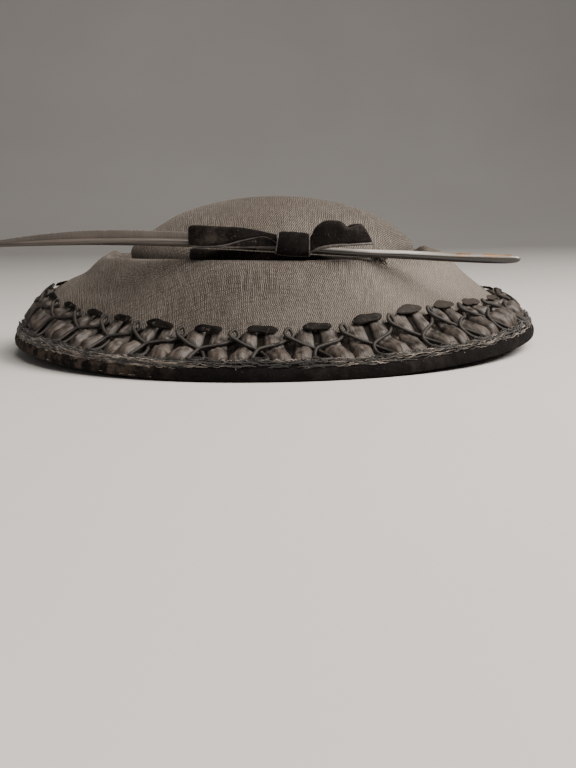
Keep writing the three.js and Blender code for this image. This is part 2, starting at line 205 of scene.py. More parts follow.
# Swells and dips of the brim: bearing, half turn, share of the span, half reach, share of height
BRIM_WAVES = rows(
    "at turn out reach lift",
    (-40, 60, 0, 0.4, 0.02),
    (-102, 60, 0.62, 0.36, 0.1),
    (98, 55, 0.45, 0.48, -0.055),
    (-93, 7, -0.01, 0.1, 0.06),
    (-71, 9, 0, 0.12, -0.034),
    (101, 10, -0.05, 0.13, 0.075),
    (-48, 13, 0.24, 0.3, -0.025),
    (62, 8, 0.12, 0.2, -0.022),
    (180, 60, 0.1, 0.4, 0.02),
)

# The crown's face: shares of its radius, and of its height over the groove
CROWN_SECTIONS = rows(
    "out up",
    (0.975, 0), (0.995, 0.16), (1, 0.3), (0.982, 0.385), (0.935, 0.47), (0.82, 0.625),
    (0.67, 0.78), (0.5, 0.885), (0.32, 0.955), (0.16, 0.99), (0, 1),
)

# Dents of the crown: bearing, half turn, level, half reach, and push outwards
CROWN_DENTS = rows(
    "at turn level reach push",
    (-90, 45, 0.38, 0.3, 0.018),
    (100, 40, 0.6, 0.4, 0.012),
    (-90, 60, 0.2, 0.3, -0.014),
    (90, 60, 0.2, 0.3, -0.02),
    (60, 22, 0.3, 0.25, -0.02),
    (-20, 35, 0.75, 0.25, 0.015),
    (170, 50, 0.5, 0.4, -0.012),
)

# The quill from its left tip: rise and thickness as shares of its diameter, and the vane's height
QUILL_SECTIONS = rows(
    "along rise thick vane",
    (0, 0.74, 0.3, 0.1), (0.04, 0.87, 0.5, 0.4), (0.12, 1.02, 0.68, 0.78), (0.22, 1.08, 0.82, 1),
    (0.38, 0.8, 1, 0.88), (0.54, 0.15, 0.96, 0.7), (0.68, -0.58, 0.82, 0),
    (0.78, -0.93, 0.98, 0), (0.88, -1.33, 1.02, 0), (0.97, -1.57, 1.06, 0), (1, -1.63, 0.7, 0),
)

# The ribbon of each loop from the knot, round the fold and back: shares of the loop's length and
# depth, and the ribbon's two edges as shares of its width
LEFT_LOOP = rows(
    "step along depth low high slant",
    (0, 0, 0.62, 0.3, 0.67, 0), (1, 0.12, 0.8, 0.57, 0.79, 0), (2, 0.26, 0.92, 0.52, 0.92, 0),
    (3, 0.42, 1, 0.39, 1.02, 0), (4, 0.58, 0.97, 0.22, 1.06, 0), (5, 0.77, 0.86, 0.145, 1.11, 0),
    (6, 0.93, 0.68, 0.16, 1.15, 0), (7, 1, 0.42, 0.2, 1.11, 0), (8, 0.93, 0.14, 0.18, 1.1, 0),
    (9, 0.6, 0.02, 0.1, 1, 0), (10, 0.3, 0, 0.08, 0.8, 0), (11, 0, 0.12, 0.1, 0.6, 0),
)
RIGHT_LOOP = rows(
    "step along depth low high slant",
    (0, 0, 0.62, -0.2, 0.5, 0), (1, 0.1, 0.82, -0.06, 1, 0), (2, 0.22, 0.95, 0.03, 1.24, 0),
    (3, 0.36, 1, 0.09, 1.28, 0), (4, 0.5, 0.98, 0.12, 1.2, 0), (5, 0.61, 0.9, 0.13, 0.96, 0),
    (6, 0.8, 0.74, 0.15, 1.04, 0.4), (7, 1, 0.42, 0.166, 1.08, 1), (8, 0.9, 0.14, 0.16, 1.09, 0.75),
    (9, 0.64, 0.02, 0.12, 1.045, 0), (10, 0.5, 0, 0.1, 0.8, 0), (11, 0.25, 0, 0.05, 0.7, 0),
    (12, 0, 0.12, 0, 0.5, 0),
)

# One repeat of the cord: phase, share across the braid, and height over the brim. It comes up from
# the left under itself, rings round, runs down over a petal, loops at the edge and comes back up.
CORD_ROUTE = rows(
    "phase across height",
    (-0.17, 0.66, 4.1), (-0.06, 0.745, 3.2), (0.045, 0.8, 2.9), (0.075, 0.86, 3.3),
    (0.005, 0.935, 4.0), (-0.07, 0.87, 4.5), (-0.035, 0.79, 4.8), (0.08, 0.715, 4.7),
    (0.24, 0.61, 4.2), (0.38, 0.55, 3.3), (0.475, 0.48, 2.6), (0.545, 0.34, 2.4),
    (0.61, 0.1, 2.5), (0.575, -0.06, 2.9), (0.44, -0.075, 2.9), (0.375, 0.08, 2.6),
    (0.39, 0.28, 3.2), (0.45, 0.45, 4.3), (0.56, 0.54, 4.5), (0.7, 0.61, 4.3),
)

# The cord's two long runs over each repeat: phase and share across at their ends
CORD_RUNS = (((-0.035, 0.79), (0.475, 0.48)), ((0.45, 0.45), (0.955, 0.755)))

# The left and right sides of a repeat's first petal: share across the braid, and phases
PETAL_SIDES = rows(
    "across left right",
    (0, 0.02, 0.29), (0.2, 0, 0.325), (0.4, 0.02, 0.38), (0.6, 0.06, 0.425), (0.8, 0.09, 0.435),
    (1, 0.11, 0.43),
)
PETAL_MIRROR = 0.99

# Where the braid wanders: bearing, half turn, shift of its upper edge, and swing of its repeats
BRAID_DRIFT = rows(
    "at turn shift swing",
    (-6, 45, 2.9, 0), (42, 32, -2.2, 0), (-75, 50, 0, 5.5), (70, 35, 0, -2.5),
)

# Creases of a petal: height, and radians of wave over its half width and along it
PETAL_CREASES = rows("height over along", (0.26, 5.2, 2.2), (0.15, 11, 4), (0.14, 2, 13), (0.08, -4, 31))

# Section of the ribbon under the petals: share across the braid, and share of its thickness
GROUND_SECTION = rows(
    "across rise",
    (0, 0), (0, 0.5), (0.1, 1), (0.3, 1), (0.5, 1), (0.7, 1), (0.9, 1), (1, 0.5), (1, 0), (0.66, 0),
    (0.33, 0),
)

# Section of the quill's vane: share of its height, and half its thickness
VANE_SECTION = rows("up half", (0, 0.55), (0.35, 0.5), (0.7, 0.38), (0.92, 0.25), (1, 0.08))

# Creases of the brim: bearings and radii along each, its half width and its depth
BRIM_CREASES = (
    (((-64, 117), (-54, 112.4), (-49, 108.7), (-38, 104.7), (-32, 102.1), (-25, 98.7)), 3, 1.3),
    (((40, 101), (47, 102.9), (55, 106.3), (70, 112.4)), 1.6, 1.9),
)

# The crown's sections again, counted by step, so that a curve can follow them over the flat top
CROWN_STEPS = {"step": np.arange(len(CROWN_SECTIONS["up"]), dtype=float), **CROWN_SECTIONS}

# Loose threads round the rim: how many, where they lie as bearings and as radii past the lip, their
# shortest and longest, how far they lift, and their thinnest and thickest
PALE_STITCHES = rows(
    "count from to inner outer short long lift thin thick",
    (150, -180, 180, -1.2, 1.5, 4, 13, 1.4, 0.13, 0.24),
    (190, -180, 180, 3.4, 6.2, 5, 16, 0.5, 0.13, 0.24),
    (460, -96, -20, -1, 9.5, 7, 24, 0.7, 0.13, 0.22),
    (260, -34, -20, 2, 11.5, 1.5, 6, 0.4, 0.13, 0.22),
    (520, -96, -24, 4.5, 11.6, 2, 8, 0.4, 0.12, 0.2),
    (150, 55, 110, 0, 11, 2, 9, 0.4, 0.13, 0.22),
    (90, -180, 180, 3, 11, 0.5, 1.6, 0.3, 0.12, 0.22),
    (60, 20, 95, -2, 4.5, 5, 16, 0.9, 0.12, 0.2),
)
DARK_THREADS = rows(
    "count from to inner outer short long lift thin thick",
    (1100, -180, 180, -1.5, 6.3, 4, 18, 0.9, 0.15, 0.34),
    (240, -180, 180, -1.4, 1.6, 4, 12, 2.6, 0.13, 0.26),
    (300, -95, -15, -2, 9, 6, 20, 0.8, 0.12, 0.26),
)

# Velvets: dust, weight of the sheen, lighter colour, and lint at the left
VELVETS = (
    ("velvet", 0.6, 0.6, (0.02, 0.0165, 0.0155), 0),
    ("rim_pile", 0.18, 0.02, (0.009, 0.0075, 0.007), 0.75),
    ("knot_pile", 0.2, 0.3, (0.01, 0.0085, 0.008), 0),
)

# Satins: darker and lighter colour, least roughness, shine, reach of the dust up from the lower
# edge, and lightening at the right
SATINS = (
    # dark_ribbon is near-black as painted shade in the gaps between the petals
    ("dark_ribbon", (0.003, 0.0025, 0.002), (0.014, 0.011, 0.009), 0.7, 0.08, 0, 0),
    ("gathered_satin", (0.014, 0.0118, 0.0105), (0.1, 0.082, 0.07), 0.42, 0.38, 9, 0),
    ("rolled_edge", (0.0025, 0.002, 0.002), (0.013, 0.0105, 0.009), 0.55, 0.1, 0, 0.45),
    ("dark_satin", (0.004, 0.0035, 0.0035), (0.02, 0.017, 0.016), 0.5, 0.12, 0, 0),
    ("grey_satin", (0.03, 0.026, 0.024), (0.12, 0.107, 0.097), 0.45, 0.3, 0, 0),
)

# Threads: darker and lighter colour
THREADS = (
    ("pale_thread", (0.06, 0.047, 0.037), (0.33, 0.28, 0.235)),
    ("dark_thread", (0.004, 0.0034, 0.003), (0.03, 0.024, 0.0195)),
)

# Lamps: place, width, power and colour
LAMPS = (
    ("key", (0.95, -0.25, 0.95), 0.9, 33, (1, 0.94, 0.87)),
    ("overhead", (0.25, -0.7, 1.05), 0.9, 11, (1, 0.94, 0.87)),
    ("fill", (-1.0, -1.1, 0.7), 1.0, 1, (1, 0.96, 0.92)),
)
LAMP_AIM = (0, 0, 0.05)
STUDIO_COLOUR = (1, 0.97, 0.94, 1)
STUDIO_STRENGTH = 0.13


def hill(distance):
    """A smooth hill of height 1 at 0 that ends at 1."""
    return np.clip(1 - np.square(distance), 0, None) ** 2


def turn_between(a, b):
    """How far a bearing lies beyond another, from -180 to 180."""
    return (a - b + 180) % 360 - 180


def ease(value, low, high):
    """From 0 at low to 1 at high, smoothly."""
    part = np.clip((value - low) / (high - low), 0, 1)
    return part * part * (3 - 2 * part)


def read(table, by, column, share):
    """A table's column at a share of another, along a smooth curve through its rows."""
    places = table[by]
    values = table[column]
    share = np.asarray(share, float)
    last = len(places) - 1
    here = np.clip(np.searchsorted(places, share, side="left") - 1, 0, last - 1)
    before = np.maximum(here - 1, 0)
    after = np.minimum(here + 2, last)
    step = places[here + 1] - places[here]
    part = (share - places[here]) / step
    slope_here = (values[here + 1] - values[before]) / (places[here + 1] - places[before])
    slope_next = (values[after] - values[here]) / (places[after] - places[here])
    square = part * part
    cube = square * part
    return (
        values[here] * (2 * cube - 3 * square + 1)
        + values[here + 1] * (3 * square - 2 * cube)
        + slope_here * step * (cube - 2 * square + part)
        + slope_next * step * (cube - square)
    )


def together(*parts):
    """Arrays spread to one shape and joined as the last axis of one."""
    return np.stack(np.broadcast_arrays(*parts), axis=-1)


def around(bearing, radius, height):
    """Points at bearings, radii and heights."""
    angle = np.radians(bearing)
    return together(radius * np.sin(angle), -radius * np.cos(angle), height)


def unit(vectors):
    """Vectors of length 1."""
    return vectors / np.maximum(np.linalg.norm(vectors, axis=-1, keepdims=True), 1e-12)


# The forms of brim and crown

def sideways(bearing):
    """0 where the hat rests at its front and back, 1 at its two sides."""
    across = np.sin(np.radians(bearing)) ** 2
    resting = math.sin(math.radians(RESTING_TURN)) ** 2
    return np.clip(across - resting, 0, None) / (1 - resting)


def brim_lift(bearing, radius):
    """How far the waves lift the brim: nothing at the groove and at the edge."""
    out = (radius - RIDGE_RADIUS) / BRIM_SPAN
    lift = 0
    for at, turn, middle, reach, height in zip(*BRIM_WAVES.values()):
        lift = lift + height * hill(turn_between(bearing, at) / turn) * hill((out - middle) / reach)
    return lift * RIDGE_HEIGHT * ease(radius, GROOVE_RADIUS, RIDGE_RADIUS)


def rim_lift(bearing):
    """How far the rim stands over the ground."""
    return RIM_SIDE_LIFT * sideways(bearing)


def slope_top(bearing, radius):
    """The brim's upper face outside its ridge."""
    out = np.clip((radius - RIDGE_RADIUS) / BRIM_SPAN, 0, 1)
    rise = read(BRIM_SLOPE, "out", "up", out) * (RIDGE_HEIGHT - BRIM_EDGE_HEIGHT)
    swell = read(BRIM_SLOPE, "out", "swell", out) * SWELL_SIDE_LIFT * sideways(bearing) ** 2
    return BRIM_EDGE_HEIGHT + rise + out * rim_lift(bearing) + swell + brim_lift(bearing, radius)


def roll_top(bearing, radius):
    """The brim's upper face between its groove and its ridge."""
    out = np.clip((radius - GROOVE_RADIUS) / ROLL_WIDTH, 0, 1)
    up = read(RIDGE_ROLL, "out", "up", out)
    return GROOVE_HEIGHT + up * (RIDGE_HEIGHT - GROOVE_HEIGHT) + brim_lift(bearing, radius)


def brim_top(bearing, radius):
    """The brim's upper face, from its groove to its edge."""
    outside = slope_top(bearing, np.maximum(radius, RIDGE_RADIUS))
    inside = roll_top(bearing, np.minimum(radius, RIDGE_RADIUS))
    return np.where(radius > RIDGE_RADIUS, outside, inside)


def over_brim(bearing, radius, height):
    """Points at a height over the brim, square to its face."""
    bearing, radius, height = np.broadcast_arrays(bearing, radius, height)
    nudge = 0.4
    turn = math.degrees(nudge / RIDGE_RADIUS)
    here = around(bearing, radius, brim_top(bearing, radius))
    outward = around(bearing, radius + nudge, brim_top(bearing, radius + nudge)) - here
    along = around(bearing + turn, radius, brim_top(bearing + turn, radius)) - here
    up = unit(np.cross(outward, along))
    return here + up * height[..., None], up


# Meshes

def lattice(row_count, column_count, rows_join=False, columns_join=False):
    """The four-sided faces of a lattice of points, row by row."""
    row = np.arange(row_count if rows_join else row_count - 1)
    column = np.arange(column_count if columns_join else column_count - 1)
    r, c = np.meshgrid(row, column, indexing="ij")
    r_next = (r + 1) % row_count
    c_next = (c + 1) % column_count
    corners = (
        r * column_count + c,
        r * column_count + c_next,
        r_next * column_count + c_next,
        r_next * column_count + c,
    )
    return np.stack(corners, axis=-1).reshape(-1, 4)


def piece(name, points, faces, finish, cloth_map=None):
    """A smooth piece of the hat, from points in millimetres, that rides on its one body."""
    mesh = bpy.data.meshes.new(name)
    places = np.reshape(points, (-1, 3)) * MM
    mesh.from_pydata(places.tolist(), [], [list(map(int, face)) for face in faces])
    if cloth_map is not None:
        layer = mesh.uv_layers.new(name="cloth")
        corner = np.zeros(len(mesh.loops), int)
        mesh.loops.foreach_get("vertex_index", corner)
        layer.data.foreach_set("uv", np.asarray(cloth_map)[corner].astype(np.float32).ravel())
    made = bpy.data.objects.new(name, mesh)
    bpy.context.scene.collection.objects.link(made)
    face_out(mesh)
    mesh.polygons.foreach_set("use_smooth", np.ones(len(mesh.polygons), bool))
    mesh.materials.append(finish)
    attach(made, "root")
    return made


def face_out(mesh):
    """Turns a mesh inside out if its faces point inwards."""
    count = len(mesh.vertices)
    places = np.zeros(count * 3)
    mesh.vertices.foreach_get("co", places)
    places = places.reshape(-1, 3)
    mesh.calc_loop_triangles()
    corners = np.zeros(len(mesh.loop_triangles) * 3, int)
    mesh.loop_triangles.foreach_get("vertices", corners)
    a, b, c = places[corners.reshape(-1, 3)].transpose(1, 0, 2)
    if np.einsum("ij,ij->i", a, np.cross(b, c)).sum() < 0:
        mesh.flip_normals()


class Joined:
    """Gathers many small closed shapes into the points, faces and map of one mesh."""

    def __init__(self):
        self.points = []
        self.faces = []
        self.map = []
        self.count = 0

    def add(self, points, faces, cloth_map=None):
        points = np.reshape(points, (-1, 3))
        self.points.append(points)
        self.faces.extend((np.asarray(face) + self.count).tolist() for face in faces)
        self.map.append(np.zeros((len(points), 2)) if cloth_map is None else cloth_map)
        self.count += len(points)

    def piece(self, name, finish, slot):
        return piece(name, np.concatenate(self.points), self.faces, finish, np.concatenate(self.map))


def capped(rings, sides):
    """The faces of a tube of rings, closed at both ends."""
    faces = lattice(rings, sides, columns_join=True).tolist()
    faces.append(list(range(sides))[::-1])
    faces.append(list(range((rings - 1) * sides, rings * sides)))
    return faces


def flat_map(over, along):
    """Places on the flat cloth, for points that run row by row."""
    return together(over, along).reshape(-1, 2)


def even_turns(count, whole):
    """Even steps round a whole turn."""
    return np.arange(count) * whole / count


def cushion(across, fullness, edge=1.0, least=0.0):
    """The height of a padded section: 1 in its middle, and the least at -1 and 1."""
    return np.clip(1 - np.abs(across) ** fullness, least, None) ** edge


def section_course(radius, height):
    """A section's slope out and up at each point, as shares of a step, and its length up to there."""
    slope_out = np.gradient(radius, axis=0)
    slope_up = np.gradient(height, axis=0)
    step = np.hypot(slope_out, slope_up)
    lengths = np.hypot(np.diff(radius, axis=0), np.diff(height, axis=0))
    course = np.concatenate([0 * lengths[:1], np.cumsum(lengths, axis=0)])
    return slope_out / step, slope_up / step, course


def tube(path, ups, radii, sides, joined=False):
    """A tube along a path: points, faces, and a map of length along it by angle round it."""
    count = len(path)
    if joined:
        along = np.roll(path, -1, axis=0) - np.roll(path, 1, axis=0)
        faces = lattice(count, sides, rows_join=True, columns_join=True)
    else:
        along = np.gradient(path, axis=0)
        faces = capped(count, sides)
    along = unit(along)
    across = unit(np.cross(along, ups))
    up = np.cross(across, along)
    angle = even_turns(sides, FULL_TURN)
    ring = across[:, None] * np.cos(angle)[:, None] + up[:, None] * np.sin(angle)[:, None]
    points = path[:, None] + ring * np.broadcast_to(radii, count)[:, None, None]
    steps = np.linalg.norm(np.diff(path, axis=0), axis=1)
    length = np.concatenate([[0], np.cumsum(steps)])
    return points, faces, flat_map(length[:, None], angle[None, :])


def smooth_path(points, steps):
    """A smooth curve through points, with some steps to each."""
    last = len(points) - 1
    part = np.arange(steps)[:, None] / steps
    path = []
    for index in range(last):
        a, b, c, d = (points[min(max(index + shift, 0), last)] for shift in (-1, 0, 1, 2))
        path.append(
            b
            + 0.5 * part * (c - a)
            + part ** 2 * (a - 2.5 * b + 2 * c - 0.5 * d)
            + part ** 3 * (1.5 * (b - c) + 0.5 * (d - a))
        )
    path.append(points[-1:])
    return np.concatenate(path)


def round_corners(section, times):
    """Cuts the corners of closed outlines, again and again."""
    for again in range(times):
        after = np.roll(section, -1, axis=0)
        near = 0.75 * section + 0.25 * after
        far = 0.25 * section + 0.75 * after
        section = np.stack([near, far], axis=1).reshape(-1, *section.shape[1:])
    return section


def wander(rng, count, waves_round):
    """A smooth random line round the hat, about -1 to 1, with up to so many waves."""
    turns = np.arange(count) / count
    line = np.zeros(count)
    for wave in rng.integers(max(2, waves_round // 3), waves_round, 12):
        line += rng.normal() * np.cos(FULL_TURN * (wave * turns + rng.random()))
    return line / 4


# Materials

class Look:
    """A material: its shader, with even values on its own sockets, and the nodes that lead to it."""

    def __init__(self, name, **values):
        self.material = bpy.data.materials.new(name)
        self.material.use_nodes = True
        self.tree = self.material.node_tree
        self.shader = self.tree.nodes["Principled BSDF"]
        for socket, value in values.items():
            self.shader.inputs[socket.replace("_", " ")].default_value = value

    def paint(self, **sources):
        """The material, with each source linked to the shader's socket of its name."""
        for socket, source in sources.items():
            self.tree.links.new(source, self.shader.inputs[socket.replace("_", " ")])
        return self.material

    def node(self, kind, inputs=None, **settings):
        """A node with its settings, and its inputs as values or links."""
        made = self.tree.nodes.new("ShaderNode" + kind)
        for name, value in settings.items():
            setattr(made, name, value)
        for name, value in (inputs or {}).items():
            if isinstance(value, bpy.types.NodeSocket):
                self.tree.links.new(value, made.inputs[name])
            else:
                made.inputs[name].default_value = value
        return made

    def place(self):
        """The place in space, in metres."""
        return self.node("TexCoord").outputs["Object"]

    def cloth(self):
        """The place on the flat cloth, in millimetres."""
        return self.node("UVMap", uv_map="cloth").outputs[0]

    def parts(self, vector):
        return self.node("SeparateXYZ", {0: vector}).outputs

    def calculate(self, operation, a, b=0.0, c=0.0, limit=False):
        made = self.node("Math", {0: a, 1: b, 2: c}, operation=operation, use_clamp=limit)
        return made.outputs[0]

    def times(self, a, b):
        return self.calculate("MULTIPLY", a, b)

    def slide(self, value, start, end, most=1.0):
        """From 0 at a start to the most at an end, both in millimetres."""
        inputs = {"Value": value, "From Min": start * MM, "From Max": end * MM, "To Max": most}
        return self.node("MapRange", inputs).outputs[0]

    def within(self, value, start, end):
        """1 between a start and an end in millimetres, and 0 outside them."""
        after = self.calculate("GREATER_THAN", value, start * MM)
        return self.times(after, self.calculate("LESS_THAN", value, end * MM))

    def ramp(self, share, *stops):
        """A colour ramp from stops of place and grey or colour."""
        made = self.node("ValToRGB", {"Fac": share})
        elements = made.color_ramp.elements
        for index, (place, colour) in enumerate(stops):
            element = elements[index] if index < 2 else elements.new(place)
            element.position = place
            element.color = (*colour, 1) if isinstance(colour, tuple) else (colour, colour, colour, 1)
        return made.outputs["Color"]

    def blend(self, share, a, b, mode="MIX"):
        """From a where the share is 0 to b where it is 1."""
        made = self.node("Mix", {"Factor": share, "A": a, "B": b}, data_type="RGBA", blend_type=mode)
        return made.outputs["Result"]

    def noise(self, where, scale, detail=2.0, roughness=0.5):
        inputs = {"Vector": where, "Scale": scale, "Detail": detail, "Roughness": roughness}
        return self.node("TexNoise", inputs).outputs["Fac"]

    def streaks(self, where, scales, detail, roughness=0.5):
        """Noise with a scale of its own on each axis."""
        drawn_out = self.node("Mapping", {"Vector": where, "Scale": scales}).outputs[0]
        return self.noise(drawn_out, 1, detail, roughness)

    def centred(self, part):
        """A noise from 0 to 1 as -1 to 1, about its middle."""
        return self.calculate("MULTIPLY_ADD", part, 2.0, -1.0)

    def waves(self, along, period, wobble):
        """A sine from -1 to 1 along a coordinate in millimetres, its turns moved by a wobble."""
        turns = self.times(along, FULL_TURN / period)
        return self.calculate("SINE", self.calculate("ADD", turns, wobble))

    def mixed(self, *parts):
        """A half, and parts each times its own share, added up."""
        total = 0.5
        for share, part in parts:
            total = self.calculate("MULTIPLY_ADD", part, share, total)
        return total

    def bump(self, height, distance, strength=1.0):
        """A normal bent by a height, whose whole range stands for a distance in millimetres."""
        inputs = {"Height": height, "Distance": distance * MM, "Strength": strength}
        return self.node("Bump", inputs).outputs["Normal"]


def ribbed_cloth():
    """Charcoal cloth: upright ribs crossed by finer threads, slubs, slanting patches and flecks."""
    rib_period = 1.15
    thread_period = 1.45
    slant = 0.42
    wobble_reach = 14.0
    right_light_share = 0.32
    right_light_colour = (0.3, 0.265, 0.23, 1)
    fleck_share = 0.6
    fleck_colour = (0.4, 0.36, 0.32, 1)
    look = Look(
        "ribbed_cloth", Sheen_Weight=0.12, Sheen_Roughness=0.5, Sheen_Tint=(0.8, 0.72, 0.64, 1),
        Specular_IOR_Level=0.2,
    )
    cloth = look.cloth()
    place = look.place()
    over, along = look.parts(cloth)[:2]
    leaning = look.calculate("MULTIPLY_ADD", along, slant, over)
    wobble = look.times(look.noise(cloth, 0.11, 3, 0.6), wobble_reach)
    ribs = look.waves(over, rib_period, wobble)
    threads = look.waves(along, thread_period, wobble)
    dots = look.times(look.waves(leaning, rib_period, wobble), threads)
    slubs = look.centred(look.streaks(cloth, (0.85, 0.07, 1), 2.5, 0.65))
    weft = look.centred(look.streaks(cloth, (0.3, 0.9, 1), 2, 0.6))
    patches = look.ramp(look.noise(place, 26, 2), (0.4, 0.0), (0.6, 1.0))
    ribbed = look.mixed((0.2, ribs), (0.16, dots), (0.36, slubs), (0.22, weft))
    dotted = look.mixed((0.42, dots), (0.08, ribs), (0.2, slubs), (0.25, weft))
    weave = look.blend(patches, ribbed, dotted)
    shade = look.ramp(
        weave,
        (0.12, (0.018, 0.015, 0.013)), (0.5, (0.088, 0.075, 0.064)), (0.88, (0.31, 0.275, 0.24)),
    )
    uneven = look.ramp(look.noise(place, 16, 3, 0.6), (0.32, (0.66, 0.63, 0.61)), (0.66, 1.0))
    colour = look.blend(1.0, shade, uneven, "MULTIPLY")
    # Painted light: the brim's front right is lightened towards a paler colour, standing in for the brighter
    # light that falls there
    to_right = look.slide(look.parts(place)[0], 20, 80)
    to_brim = look.slide(look.parts(place)[2], 56, 47)
    painted_right_light = look.times(look.times(to_right, to_brim), right_light_share)
    colour = look.blend(painted_right_light, colour, right_light_colour)
    flecks = look.ramp(look.noise(cloth, 1.3, 1), (0.7, 0.0), (0.76, 1.0))
    colour = look.blend(look.times(flecks, fleck_share), colour, fleck_colour)
    rough = look.ramp(weave, (0.3, 0.9), (0.7, 0.68))
    return look.paint(Base_Color=colour, Roughness=rough, Normal=look.bump(weave, 0.5, 0.9))


def velvet(name, dust, nap, light, left_lint):
    """Black pile with a soft sheen: crushed here and there, dusty where it is rubbed, linty at the left."""
    dust_colour = (0.13, 0.105, 0.09, 1)
    lint_colour = (0.075, 0.056, 0.045, 1)
    look = Look(
        name, Roughness=0.95, Sheen_Weight=nap, Sheen_Roughness=0.3, Sheen_Tint=(0.62, 0.56, 0.52, 1),
        Specular_IOR_Level=0.1,
    )
    place = look.place()
    pile = look.noise(place, 1500, 2, 0.6)
    crushed = look.noise(place, 130, 3, 0.65)
    shade = look.ramp(look.blend(0.5, crushed, pile), (0.32, (0.0015, 0.0013, 0.0014)), (0.7, light))
    specks = look.ramp(look.noise(place, 950, 1.5), (0.68, 0.0), (0.76, 1.0))
    wear_and_painted_light = look.ramp(look.noise(place, 48, 3, 0.7), (0.55, 0.0), (0.7, 1.0))
    speck_dust = look.calculate("MULTIPLY", specks, dust, limit=True)
    worn_dust = look.times(look.times(wear_and_painted_light, pile), dust)
    dusty = look.calculate("ADD", speck_dust, worn_dust, limit=True)
    shade = look.blend(dusty, shade, dust_colour)
    if left_lint > 0:
        to_left = look.slide(look.parts(place)[0], -45, -80, left_lint)
        lint = look.ramp(look.noise(place, 160, 4, 0.75), (0.44, 0.0), (0.6, 1.0))
        shade = look.blend(look.times(to_left, lint), shade, lint_colour)
    fuzz = look.bump(look.blend(0.5, pile, crushed), 0.5, 0.7)
    return look.paint(Base_Color=shade, Normal=fuzz)


def satin(name, dark, light, gloss, shine, dust_reach, right_lightening):
    """Gathered satin with fine creases and a soft gloss; some dusty near the lower edge, some lighter towards
    the right.
    """
    gloss_range = 0.22
    dust_colour = (0.12, 0.1, 0.085, 1)
    brown = (0.052, 0.036, 0.026, 1)
    right_colour = (0.075, 0.063, 0.054, 1)
    look = Look(name, Specular_IOR_Level=shine)
    cloth = look.cloth()
    place = look.place()
    creases = look.streaks(cloth, (0.62, 0.13, 1), 2.5)
    patches = look.noise(place, 190, 3, 0.6)
    shade = look.ramp(look.blend(0.72, creases, patches), (0.36, dark), (0.64, light))
    dust = look.ramp(look.noise(place, 420, 3, 0.7), (0.6, 0.0), (0.72, 0.75))
    shade = look.blend(dust, shade, dust_colour)
    if dust_reach > 0:
        low = look.ramp(look.times(look.parts(cloth)[1], 1 / dust_reach), (0.2, 0.8), (1.0, 0.0))
        patchy = look.times(low, look.ramp(patches, (0.36, 0.2), (0.58, 1.0)))
        shade = look.blend(patchy, shade, brown)
    # Lighter towards the right, blended towards a paler colour
    if right_lightening > 0:
        to_right = look.slide(look.parts(place)[0], 40, 85, right_lightening)
        shade = look.blend(to_right, shade, right_colour)
    rough = look.ramp(patches, (0.35, gloss), (0.65, gloss + gloss_range))
    return look.paint(Base_Color=shade, Roughness=rough, Normal=look.bump(creases, 0.9, 0.7))


def twisted_cord():
    """Dark cord with a fine twist that catches the light."""
    twist_rate = 5.0
    look = Look("twisted_cord", Roughness=0.5, Specular_IOR_Level=0.35)
    along, angle = look.parts(look.cloth())[:2]
    turns = look.calculate("ADD", look.times(along, twist_rate), angle)
    twist = look.calculate("SINE", look.times(turns, 2.0))
    twist = look.calculate("MULTIPLY_ADD", twist, 0.5, 0.5)
    wear = look.noise(look.place(), 90, 3, 0.6)
    shade = look.ramp(
        look.blend(0.4, wear, twist),
        (0.3, (0.009, 0.0078, 0.007)), (0.72, (0.046, 0.039, 0.034)),
    )
    return look.paint(Base_Color=shade, Normal=look.bump(twist, 0.12, 0.8))


def quill_horn():
    """Glossy grey horn, streaked along its length: browner to the left, amber near its right end."""
    highlight_fade_share = 0.72
    faded_highlight_colour = (0.12, 0.1, 0.083, 1)
    loop_shade_share = 0.85
    loop_shade_colour = (0.004, 0.0035, 0.003, 1)
    left_roughness = 0.58
    right_polish = -0.3
    look = Look("quill_horn", Coat_Weight=0.5, Coat_Roughness=0.15, Specular_IOR_Level=0.4)
    place = look.place()
    across = look.parts(place)[0]
    upward = look.parts(look.node("NewGeometry").outputs["Normal"])[2]
    streaks = look.streaks(place, (25, 900, 900), 2)
    grey = look.ramp(streaks, (0.3, (0.012, 0.0105, 0.0095)), (0.7, (0.05, 0.044, 0.038)))
    taupe = look.ramp(streaks, (0.3, (0.03, 0.0235, 0.019)), (0.7, (0.1, 0.082, 0.068)))
    painted_highlight = look.ramp(streaks, (0.3, (0.32, 0.3, 0.275)), (0.7, (0.62, 0.59, 0.55)))
    amber = look.ramp(streaks, (0.35, (0.13, 0.066, 0.026)), (0.65, (0.34, 0.19, 0.085)))
    # Painted highlight: the shaft's upper side, and its amber patches with it, are coloured lighter where
    # light from above falls
    wear_and_painted_light = look.ramp(upward, (0.1, 0.0), (0.75, 1.0))
    to_right = look.slide(across, *GREY_TURN)
    # The painted highlight fades towards the right end
    painted_highlight = look.blend(look.slide(across, *HIGHLIGHT_FADE, highlight_fade_share), painted_highlight, faded_highlight_colour)
    shade = look.blend(to_right, taupe, look.blend(wear_and_painted_light, grey, painted_highlight))
    # Painted shade: the stretch behind the bow's left loop is darkened where the loop shades the shaft
    painted_loop_shade = look.times(look.within(across, *SHADED_STRETCH), loop_shade_share)
    shade = look.blend(painted_loop_shade, shade, loop_shade_colour)
    ragged = look.ramp(look.streaks(place, (130, 600, 600), 3, 0.7), (0.4, 0.15), (0.54, 0.95))
    amber = look.blend(wear_and_painted_light, grey, amber)
    for start, end in AMBER_PATCHES:
        patch = look.times(look.within(across, start, end), ragged)
        shade = look.blend(patch, shade, amber)
    rough = look.calculate("MULTIPLY_ADD", to_right, right_polish, left_roughness)
    return look.paint(Base_Color=shade, Roughness=rough, Normal=look.bump(streaks, 0.15, 0.5))


